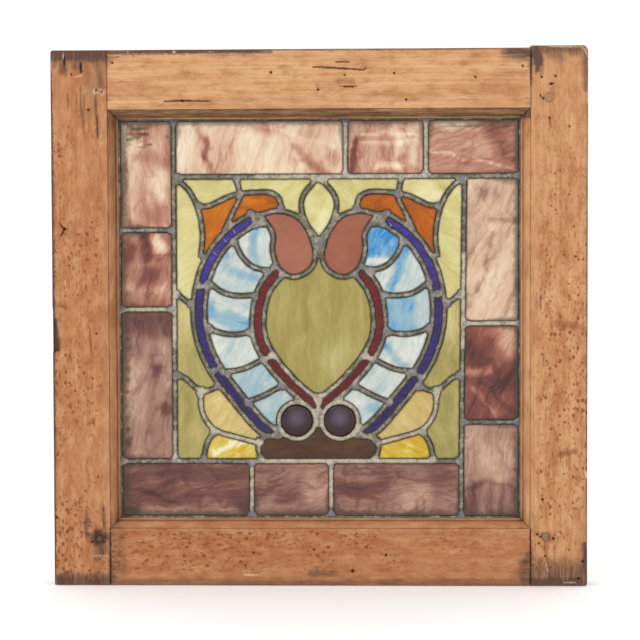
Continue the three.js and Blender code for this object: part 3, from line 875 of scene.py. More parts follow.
def old_pine():
    """Pine, hand planed, stripped and waxed: growth lines run along each member between paler wood, the
    finish has crazed into brown specks, and smoke and damp have turned the ends purple brown. The moulding
    and its creases are darkened with painted shade."""
    sash = settings().sash
    material, tree, shader = new_material("Pine, planed and waxed")
    fields = {name: add_node(tree, "ShaderNodeAttribute", attribute_name=name)
              for name in ("grain", "tone", "specks", "rust", "char", "pale", "grime_and_shade", "dark")}
    noises = {}
    for name, scale, detail, rough in (
            ("growth", (0.009, 0.3, 0.3), 4.0, 0.55),       # growth lines 3 mm apart
            ("board", (0.012, 0.05, 0.04), 3.0, 0.6),       # clouds a hand wide
            ("mottle", (0.05, 0.11, 0.1), 5.0, 0.65),       # blotches of old finish, 15 mm across
            ("fibre", (0.07, 1.6, 1.6), 3.0, 0.6),          # fibres half a millimetre across
            ("fleck", (0.2, 0.36, 0.36), 3.0, 0.6),         # specks 3 mm long
            ("ragged", (0.035, 0.34, 0.3), 5.0, 0.7)):      # broken edges of the stains
        stretched = add_node(tree, "ShaderNodeMapping", {
            "Vector": fields["grain"].outputs["Vector"], "Scale": scale})
        noises[name] = add_node(tree, "ShaderNodeTexNoise", {
            "Vector": stretched, "Scale": 1.0, "Detail": detail, "Roughness": rough}).outputs["Fac"]
    lines = add_node(tree, "ShaderNodeValToRGB", {"Fac": noises["growth"]}, stops=[
        (0.34, (*sash.pine_light, 1)), (0.74, (*sash.pine_dark, 1))])
    # Ragged specks in cells 5.5 mm long and 4.5 mm wide, no two of a size, larger where the finish has
    # crazed most: the cell's own colour chooses how large its speck is.
    cells = add_node(tree, "ShaderNodeMapping", {
        "Vector": fields["grain"].outputs["Vector"], "Scale": (0.18, 0.22, 0.22)})
    tremor = add_node(tree, "ShaderNodeTexNoise", {"Vector": cells, "Scale": 4.0, "Detail": 3.0})
    pushed = add_node(tree, "ShaderNodeVectorMath", {
        0: tremor.outputs["Color"], 1: (0.5, 0.5, 0.5), 2: cells}, operation="MULTIPLY_ADD")
    centres = add_node(tree, "ShaderNodeTexVoronoi", {"Vector": pushed, "Scale": 1.0})
    chosen = add_node(tree, "ShaderNodeMapRange", {
        "Value": centres.outputs["Color"], "From Min": 0.46, "From Max": 0.85, "To Max": 0.48})
    radius = add_node(tree, "ShaderNodeMath", {0: fields["specks"], 1: chosen}, operation="MULTIPLY")
    depth = add_node(tree, "ShaderNodeMath", {
        0: radius, 1: centres.outputs["Distance"]}, operation="SUBTRACT")
    dots = add_node(tree, "ShaderNodeMapRange", {
        "Value": depth, "From Max": 0.1, "To Max": 0.8})
    # How much of each field's own noise, from where to where, lets each change of colour through.
    veils = {}
    for name, source, start, stop, most in (
            ("cloud", "board", 0.45, 0.68, 0.5), ("blotch", "mottle", 0.5, 0.72, 0.6),
            ("bloom", "mottle", 0.48, 0.3, 0.45), ("hair", "fibre", 0.52, 0.76, 0.36),
            ("fleck", "fleck", 0.54, 0.66, 0.75), ("russet", "mottle", 0.42, 0.62, 0.44)):
        veils[name] = add_node(tree, "ShaderNodeMapRange", {
            "Value": noises[source], "From Min": start, "From Max": stop, "To Max": most})
    flecks = add_node(tree, "ShaderNodeMath", {0: veils["fleck"], 1: fields["specks"]}, operation="MULTIPLY")
    specks = add_node(tree, "ShaderNodeMath", {0: dots, 1: flecks}, operation="MAXIMUM")
    russet = add_node(tree, "ShaderNodeMath", {0: veils["russet"], 1: fields["specks"]}, operation="MULTIPLY")
    # The moulding's dark stain is painted shade at its head, its left, its corners and its creases, over a
    # faint even tint.
    stains = {}
    for name, start, stop, most in (
            ("char", 0.05, 0.44, 0.92), ("pale", 0.18, 0.5, 0.85), ("rust", 0.1, 0.5, 0.85),
            ("grime_and_shade", 0.04, 0.52, 0.92)):
        broken = add_node(tree, "ShaderNodeMath", {
            0: fields[name], 1: noises["ragged"]}, operation="MULTIPLY")
        stains[name] = add_node(tree, "ShaderNodeMapRange", {
            "Value": broken, "From Min": start, "From Max": stop, "To Max": most})
    colour = lines
    for factor, over in (
            (fields["tone"], "A86A40"), (veils["cloud"], "A2623A"), (veils["bloom"], "D2A276"),
            (veils["blotch"], "8E5634"), (russet, "A8602F"), (veils["hair"], "84502E"),
            (specks, "783614"), (stains["rust"], "7C3F1A"), (stains["char"], "4A322C"),
            (stains["pale"], "DCC4A2"), (stains["grime_and_shade"], "48321E"), (fields["dark"], "22150F")):
        colour = add_node(tree, "ShaderNodeMix", {
            "Factor_Float": factor, "A_Color": colour, "B_Color": rgba(over)}, data_type="RGBA")
    sheen = add_node(tree, "ShaderNodeMapRange", {"Value": noises["growth"], "To Min": 0.5, "To Max": 0.72})
    relief = add_node(tree, "ShaderNodeMath", {0: noises["fibre"], 1: noises["growth"]}, operation="ADD")
    bump = add_node(tree, "ShaderNodeBump", {"Height": relief, "Strength": 0.5, "Distance": 0.25 * MM})
    set_inputs(tree, shader, {"Base Color": colour, "Roughness": sheen, "Normal": bump, "IOR": 1.45,
                              "Specular IOR Level": 0.35})
    return material


class BuildSash(bpy.types.Operator):
    """Build the sash's four members, with their moulding, wear, marks and through tenons"""
    bl_idname = "leaded_window.build_sash"
    bl_label = "Sash"

    def execute(self, context):
        sash = settings().sash
        pine = old_pine()
        stile, head, foot = sash.stile_face / MM, sash.top_face / MM, sash.foot_face / MM
        left, right, top = LEFT_LOW[0], RIGHT_HIGH[0], TOP_HIGH[2]
        half = right - stile
        fit, inset, height = sash.fit / MM, sash.tenon_inset / MM, sash.tenon_height / MM
        foot_tenon = (foot - inset - height, foot - inset)
        head_tenon = (top - head + inset, top - head + inset + height)
        mortises = (foot_tenon, head_tenon)
        upright, level = (foot, top - head), (-half, half)
        # Each member: its name, its face's width, its ends, the opening beside it, how it lies, its tone from
        # 0 pale to 1 dark, its mortises, the wear at its ends, the wear at its corners, and its own tenon.
        parts = (
            ("left_stile", stile, (LEFT_LOW[2], LEFT_HIGH[2]), upright, lambda c, a: (left + c, a),
             0.6, mortises, 1.0, (2, 3), None),
            ("right_stile", stile, (RIGHT_LOW[2], RIGHT_HIGH[2]), upright, lambda c, a: (right - c, a),
             0.25, mortises, 1.0, (3, 7), None),
            ("top_rail", head, (fit - half, half - fit), level, lambda c, a: (a, top - c),
             0.05, (), 0.3, (0.4, 0.4), head_tenon),
            ("bottom_rail", foot, (fit - half, half - fit), level, lambda c, a: (a, c),
             0.7, (), 0.3, (0.4, 0.4), foot_tenon))
        for seed, (name, face, ends, opening, place, tone, sunk, wear, corners, tenon) in enumerate(parts, 1):
            points, faces, fields = member(face, *ends, opening, place, tone, seed, sunk, wear, corners)
            if tenon:
                low_z, high_z = tenon[0] + TENON_GAP, tenon[1] - TENON_GAP
                stub_t = sash.tenon_thickness / MM / 2 - TENON_SIDE
                for side in (-1, 1):
                    near, far = sorted((side * (right - TENON_SUNK - 1), side * (right - TENON_BELOW)))
                    stub, sides = block((near, -stub_t, low_z), (far, stub_t, high_z), 0.3)
                    faces += [[i + len(points) for i in f] for f in sides]
                    points = np.vstack([points, stub])
                    fields["grain"] = np.vstack([fields["grain"], stub * END_GRAIN])
                    for field, value in TENON_FIELDS.items():
                        fields[field] = np.append(fields[field], np.full(len(stub), value))
            make_piece(f"{name}_worn", points, faces, [name], pine, fields)
        return {"FINISHED"}


def oak_pin():
    """Oak, cleft and driven: end grain, greyed by weather, with dark pores."""
    material, tree, shader = new_material("Oak, cleft pin")
    place = add_node(tree, "ShaderNodeTexCoord")
    pores = add_node(tree, "ShaderNodeTexNoise", {
        "Vector": place.outputs["Object"], "Scale": 1100.0, "Detail": 3.0})     # pores 0.9 mm apart
    shade = add_node(tree, "ShaderNodeAttribute", attribute_name="shade")
    fresh = add_node(tree, "ShaderNodeValToRGB", {"Fac": pores.outputs["Fac"]}, stops=[
        (0.35, rgba("7A5638")), (0.6, rgba("C29468")), (0.8, rgba("D0AE84"))])
    colour = add_node(tree, "ShaderNodeMix", {
        "Factor_Float": shade, "A_Color": fresh, "B_Color": rgba("33261F")}, data_type="RGBA")
    bump = add_node(tree, "ShaderNodeBump", {"Height": pores.outputs["Fac"], "Distance": 0.3 * MM})
    set_inputs(tree, shader, {"Base Color": colour, "Normal": bump, "Roughness": 0.7})
    return material


def lathe(centre, profile, sides, base=0.0):
    """A closed turned form about the line through centre, facing the front, from (radius, depth) pairs."""
    angles = np.arange(sides) * 2 * math.pi / sides
    points, faces = [], []
    for radius, y in profile[:-1]:
        points += [(centre[0] + radius * math.cos(u), base + y, centre[1] + radius * math.sin(u))
                   for u in angles]
    for k in range(len(profile) - 2):
        for i in range(sides):
            j = (i + 1) % sides
            faces.append((k * sides + i, k * sides + j, (k + 1) * sides + j, (k + 1) * sides + i))
    last = (len(profile) - 2) * sides
    points.append((centre[0], base + profile[-1][1], centre[1]))
    faces += [(last + i, last + (i + 1) % sides, len(points) - 1) for i in range(sides)]
    faces.append(list(range(sides))[::-1])
    return points, faces


class BuildPins(bpy.types.Operator):
    """Build the pins driven through the corner joints"""
    bl_idname = "leaded_window.build_pins"
    bl_label = "Joint pins"

    def execute(self, context):
        oak = oak_pin()
        for name, x, z, radius, shade in PINS:
            profile = [(radius * part, depth) for part, depth in (
                (0.94, PIN_SEAT + 0.1), (1, 1.2), (0.96, 0.62), (0.86, 0.4), (0.5, 0.32), (0, 0.4))]
            points, faces = lathe((x, z), profile, 24, FRONT_Y)
            make_piece(name, points, faces, None, oak, {"shade": np.full(len(points), shade)})
        return {"FINISHED"}


# ---- The lead ----

# Where the cames are painted pale, with wear from rubbing and a painted highlight: paths of x and z in
# millimetres, and half their width.
RUB_AND_HIGHLIGHT_PATHS = (
    ([(-58, 124), (112, 124)], 5), ([(-60, 409), (110, 409)], 5), ([(-50, 229), (-30, 203), (-2, 180)], 6),
    ([(50, 229), (27, 202), (-2, 180)], 6), ([(-104, 154), (-117, 178), (-118, 195)], 5),
    ([(104, 154), (117, 178), (118, 195)], 5), ([(-145, 300), (-146, 240)], 4), ([(145, 330), (144, 240)], 4),
    ([(-147, 150), (-147, 130)], 4), ([(26, 415), (26, 460)], 4), ([(107, 415), (107, 460)], 4),
    ([(-190, 276), (-155, 276)], 4), ([(152, 262), (195, 262)], 4), ([(-68, 80), (-68, 115)], 4),
    ([(11, 80), (11, 115)], 4), ([(-60, 141), (-104, 154)], 4), ([(60, 141), (104, 154)], 4),
)


def came_lead():
    """Lead came, milled, with joints of hand-run solder: dull grey, black where it meets the glass with grimy
    cement and painted shade, and painted pale on its crowns, partly as wear from rubbing and partly as a
    painted highlight."""
    material, tree, shader = new_material("Lead came, milled and soldered")
    place = add_node(tree, "ShaderNodeTexCoord").outputs["Object"]
    fields = {name: add_node(tree, "ShaderNodeAttribute", attribute_name=name)
              for name in ("crown", "joint", "rub_and_highlight", "dirt_and_shade")}
    patches = add_node(tree, "ShaderNodeTexNoise", {
        "Vector": place, "Scale": 125.0, "Detail": 5.0, "Roughness": 0.72})     # patches 8 mm across
    scars = add_node(tree, "ShaderNodeTexNoise", {
        "Vector": place, "Scale": 480.0, "Detail": 4.0, "Roughness": 0.65})     # scratches and pits 2 mm
    blots = add_node(tree, "ShaderNodeTexNoise", {
        "Vector": place, "Scale": 110.0, "Detail": 4.0, "Roughness": 0.65})     # blots 9 mm across
    # Darkest at the came's edges, with cement and painted shade where it meets the glass, and paler up to the
    # crown: a painted highlight.
    edge = add_node(tree, "ShaderNodeValToRGB", {"Fac": fields["crown"]}, stops=[
        (0.3, rgba("1A1713")), (0.7, rgba("4A463E")), (1.0, rgba("76715F"))])
    # The crowns are painted pale in patches and along the marked paths: wear from rubbing, and a painted
    # highlight.
    wear = add_node(tree, "ShaderNodeMath", {
        0: fields["rub_and_highlight"], 1: 0.22, 2: patches}, operation="MULTIPLY_ADD")
    rubbed_and_highlit = add_node(tree, "ShaderNodeMapRange", {
        "Value": wear, "From Min": 0.48, "From Max": 0.74, "To Max": 0.95})
    tarnish = add_node(tree, "ShaderNodeMapRange", {
        "Value": blots, "From Min": 0.48, "From Max": 0.66, "To Max": 0.75})
    worn = add_node(tree, "ShaderNodeMath", {0: rubbed_and_highlit, 1: fields["crown"]}, operation="MULTIPLY")
    pitted = add_node(tree, "ShaderNodeMapRange", {
        "Value": scars, "From Min": 0.5, "From Max": 0.72, "To Max": 0.6})
    pool = add_node(tree, "ShaderNodeMath", {0: fields["joint"], 1: 0.75}, operation="MULTIPLY")
    colour = edge
    for factor, over in (
            (tarnish, "48443A"), (pool, "7D7A82"), (worn, "C0B69F"), (pitted, "35322A"),
            # The outermost cames are darkened with dirt, and with painted shade under the head and in the
            # corners.
            (fields["dirt_and_shade"], "2C2419")):
        colour = add_node(tree, "ShaderNodeMix", {
            "Factor_Float": factor, "A_Color": colour, "B_Color": rgba(over)}, data_type="RGBA")
    gloss = add_node(tree, "ShaderNodeMapRange", {"Value": worn, "To Min": 0.62, "To Max": 0.42})
    bump = add_node(tree, "ShaderNodeBump", {"Height": scars, "Strength": 0.6, "Distance": 0.25 * MM})
    set_inputs(tree, shader, {"Base Color": colour, "Roughness": gloss, "Normal": bump, "Metallic": 0.35})
    return material


JEWEL_RINGS = ((-22.1, 164.3), (21.1, 164.3))       # the middles of the cames bent round the jewels
JEWEL_RING_RADIUS = 18.6
BACK_SPACING = 1.9      # the mesh on the back is coarser than on the front by this much
POOL_RISE = 0.55        # how far a pool of solder stands above the came
SOLDER_ROOM = 0.5       # the most that the solder stands out from the frame's net
CHANNEL = 0.6           # depth of the channel that holds the glass
LIP_GAP = 0.03          # the came's lips stand this far off the glass
CHANNEL_FLOOR = 0.5     # the channel's floor is this much narrower at each side than the glass


def came_crown(flat, edges):
    """How high the came stands at each place, from 0 at its edge to 1 on its crown."""
    rise = 1 - np.clip(nearest(edges, flat) / (settings().lead.half_width / MM), 0, 1)
    return np.sqrt(np.maximum(1 - rise ** 2.2, 0))


def pool_cover(flat, pools):
    """How fully the pools of solder cover each place."""
    best = np.zeros(len(flat))
    for centre, radius in pools:
        r = np.hypot(*(flat - centre).T)
        best = np.maximum(best, 1 - ramp(r, radius * 0.75, radius * 1.3))
    return best


def rubbed_and_highlit_at(x, z):
    """How pale the cames are painted at each place, along the marked paths and round the jewels: wear from
    rubbing and a painted highlight.
    """
    rub_and_highlight = painted(x, z, [(path, width, 1) for path, width in RUB_AND_HIGHLIGHT_PATHS])
    for ring_x, ring_z in JEWEL_RINGS:
        off = np.abs(np.hypot(x - ring_x, z - ring_z) - JEWEL_RING_RADIUS)
        rub_and_highlight = np.maximum(rub_and_highlight, 0.9 * (1 - ramp(off, 1.5, 3.5)))
    return rub_and_highlight


def net_spots(rings, spacing):
    """A lattice of points over the lead: inside the first ring, outside the others and clear of them all."""
    spots = lattice(NET_LOW[[0, 2]], NET_HIGH[[0, 2]], spacing)
    keep = inside(rings[0], spots)
    for ring in rings[1:]:
        low, high = ring.min(axis=0), ring.max(axis=0)
        near = np.flatnonzero(np.all((spots > low) & (spots < high), axis=1) & keep)
        keep[near] = ~inside(ring, spots[near])
    spots = spots[keep]
    return spots[nearest(np.vstack(rings), spots) > 0.42 * spacing]


class BuildLead(bpy.types.Operator):
    """Build the net of cames and solder as one piece, with a channel for the glass round each opening"""
    bl_idname = "leaded_window.build_lead"
    bl_label = "Lead net"

    def execute(self, context):
        lead = settings().lead
        step, lip, crown = lead.step / MM, lead.lip / MM, lead.crown / MM
        outer, openings, pools = lead_outlines()
        rings = [outer, *openings]
        edges = np.vstack(openings)
        points, faces, field_rows = [], [], []

        def add_layer(flat, depth, crowns, joint):
            """Adds points at their depths with their fields, and returns the first one's place."""
            start = len(points)
            x, z = flat.T
            points.extend(zip(x, depth, z))
            field_rows.append(np.stack([crowns, joint, rubbed_and_highlit_at(x, z), came_dirt_and_shade(x, z)], axis=1))
            return start

        # The two faces, each a field of triangles swelling from the cames' edges to their crowns.
        surfaces = []
        for sign, base, spacing in ((-1, GLASS_FRONT, step), (1, GLASS_BACK, step * BACK_SPACING)):
            flat, triangles, places = fill(rings, net_spots(rings, spacing))
            crowns, joint = came_crown(flat, edges), pool_cover(flat, pools)
            rough = 0.1 * drift(*flat.T, 4, 31) + 0.08 * drift(*flat.T, 11, 32)
            swell = crowns * (crown - lip) * (1 + rough * 2)
            swell = swell + POOL_RISE * joint * crowns ** 2 + rough * crowns
            depth = np.clip(base + sign * (lip + swell), NET_LOW[1] - SOLDER_ROOM, NET_HIGH[1] + SOLDER_ROOM)
            start = add_layer(flat, depth, crowns, joint)
            faces += [[start + i for i in (t if sign < 0 else t[::-1])] for t in triangles]
            surfaces.append([[start + i for i in ring] for ring in places])

        # The walls between them: round the outside a plain edge, and round each opening a channel.
        for k, ring in enumerate(rings):
            channel = []
            if k:
                under = ring + CHANNEL * outward(ring)
                zeros = np.zeros(len(ring))
                for flat, depth in (
                        (ring, GLASS_FRONT - LIP_GAP), (under, GLASS_FRONT + CHANNEL_FLOOR),
                        (under, GLASS_BACK - CHANNEL_FLOOR), (ring, GLASS_BACK + LIP_GAP)):
                    first = add_layer(flat, zeros + depth, zeros, zeros)
                    channel.append(list(range(first, first + len(ring))))
            rows = [surfaces[0][k], *channel, surfaces[1][k]]
            for upper, lower in zip(rows[:-1], rows[1:]):
                for i, j in zip(range(len(ring)), [*range(1, len(ring)), 0]):
                    faces.append([upper[i], upper[j], lower[j], lower[i]])
        fields = dict(zip(("crown", "joint", "rub_and_highlight", "dirt_and_shade"), np.vstack(field_rows).T))
        make_piece("lead_net_soldered", points, faces, ["lead_net"], came_lead(), fields)
        return {"FINISHED"}


def came_dirt_and_shade(x, z):
    """Dirt and painted shade on the outermost cames, 197 to 201 mm to each side and at 66 and 467 mm up: the
    painted shade is most along the head, under the top rail's moulding, and in the corners."""
    head = 0.5 * ramp(z, 461, 465)
    sides = ramp(np.abs(x), 196.5, 199.5)
    foot = 1 - ramp(z, 67.5, 70)
    corners = ramp(np.abs(x), 184, 199) * ramp(np.abs(z - MIDDLE_Z), 182, 198)
    return np.clip(np.maximum.reduce([head, 0.3 * sides, 0.1 * foot, 0.6 * corners]), 0, 0.85)


def glass_soil_and_shade(x, z):
    """How far the dark band along the cames reaches. Dirt and painted shade make the band: it reaches
    furthest near the sash, further on the left, and furthest of all at the corners.
    """
    sides = ramp(np.abs(x), 160, 197)
    ends = np.maximum(ramp(z, 430, 462), 1 - ramp(z, 72, 100))
    left = 0.45 * ramp(-x, 180, 199)
    return np.clip(0.5 * np.maximum(sides, ends) + 0.8 * sides * ends + left, 0, 1)


# ---- The glass ----

# Each kind of glass: its slot, its colours from pale to dark, the length and width of its streaks in
# millimetres, how strongly they and its veins show, its roughness, and what the real glass is.
KINDS = {
    "border": ("border_glass", ("E8DABE", "D4B598", "A47E6C", "744A41", "4C3031"), (44, 12), 0.13, 0.1, 0.3,
               "Mauve opalescent glass, rolled"),
    "rose": ("border_glass", ("E9DABF", "D6B497", "AE7A66", "7E483C", "4E2C2A"), (44, 12), 0.13, 0.1, 0.3,
             "Rose opalescent glass, rolled"),
    "ground": ("ground_glass", ("DCD4A2", "CCC282", "B8AB6C", "A09456", "867A42"), (40, 14), 0.14, 0.05, 0.28,
               "Yellow green opalescent glass, rolled"),
    "olive": ("olive_glass", ("BEB47E", "AC9F62", "9C8E4C", "8E803C", "766A30"), (60, 10), 0.19, 0.0, 0.25,
              "Olive opalescent glass, rolled"),
    "orange": ("orange_glass", ("CC8E3C", "BE6A0A", "AC5806", "944606", "682C08"), (22, 7), 0.2, 0.05, 0.2,
               "Amber cathedral glass, rolled"),
    "terracotta": ("terracotta_glass", ("B27A64", "A46A54", "985C46", "8A4E3A", "743E30"), (30, 14), 0.08,
                   0.0, 0.45, "Terracotta opal glass, pressed"),
    "petal": ("petal_glass", ("D4D6CC", "BAC4BE", "98B2B8", "74A4C0", "2C82BE"), (26, 8), 0.2, 0.06, 0.25,
              "Sky blue and white opalescent glass, rolled"),
    "straw": ("straw_glass", ("DACD96", "CDB979", "C0A868", "B29A54", "947E3C"), (24, 9), 0.2, 0.05, 0.28,
              "Straw opalescent glass, rolled"),
    "yellow": ("yellow_glass", ("E6DFBA", "D4BE5E", "C6A42C", "B8922A", "927022"), (26, 8), 0.24, 0.0, 0.25,
               "Yellow streaky glass, rolled"),
    "brown": ("brown_glass", ("6A4A30", "583A24", "4A301C", "3E2616", "2A1A10"), (30, 8), 0.2, 0.0, 0.22,
              "Brown cathedral glass, rolled"),
    "blue": ("blue_glass", ("4C40A4", "3A2E8A", "302470", "281C5C", "1E1640"), (12, 4), 0.25, 0.0, 0.15,
             "Cobalt violet cathedral glass, rolled"),
    "red": ("red_glass", ("922C32", "78191F", "661218", "520E15", "380A10"), (5, 3), 0.3, 0.0, 0.2,
            "Ruby cathedral glass, rolled"),
}
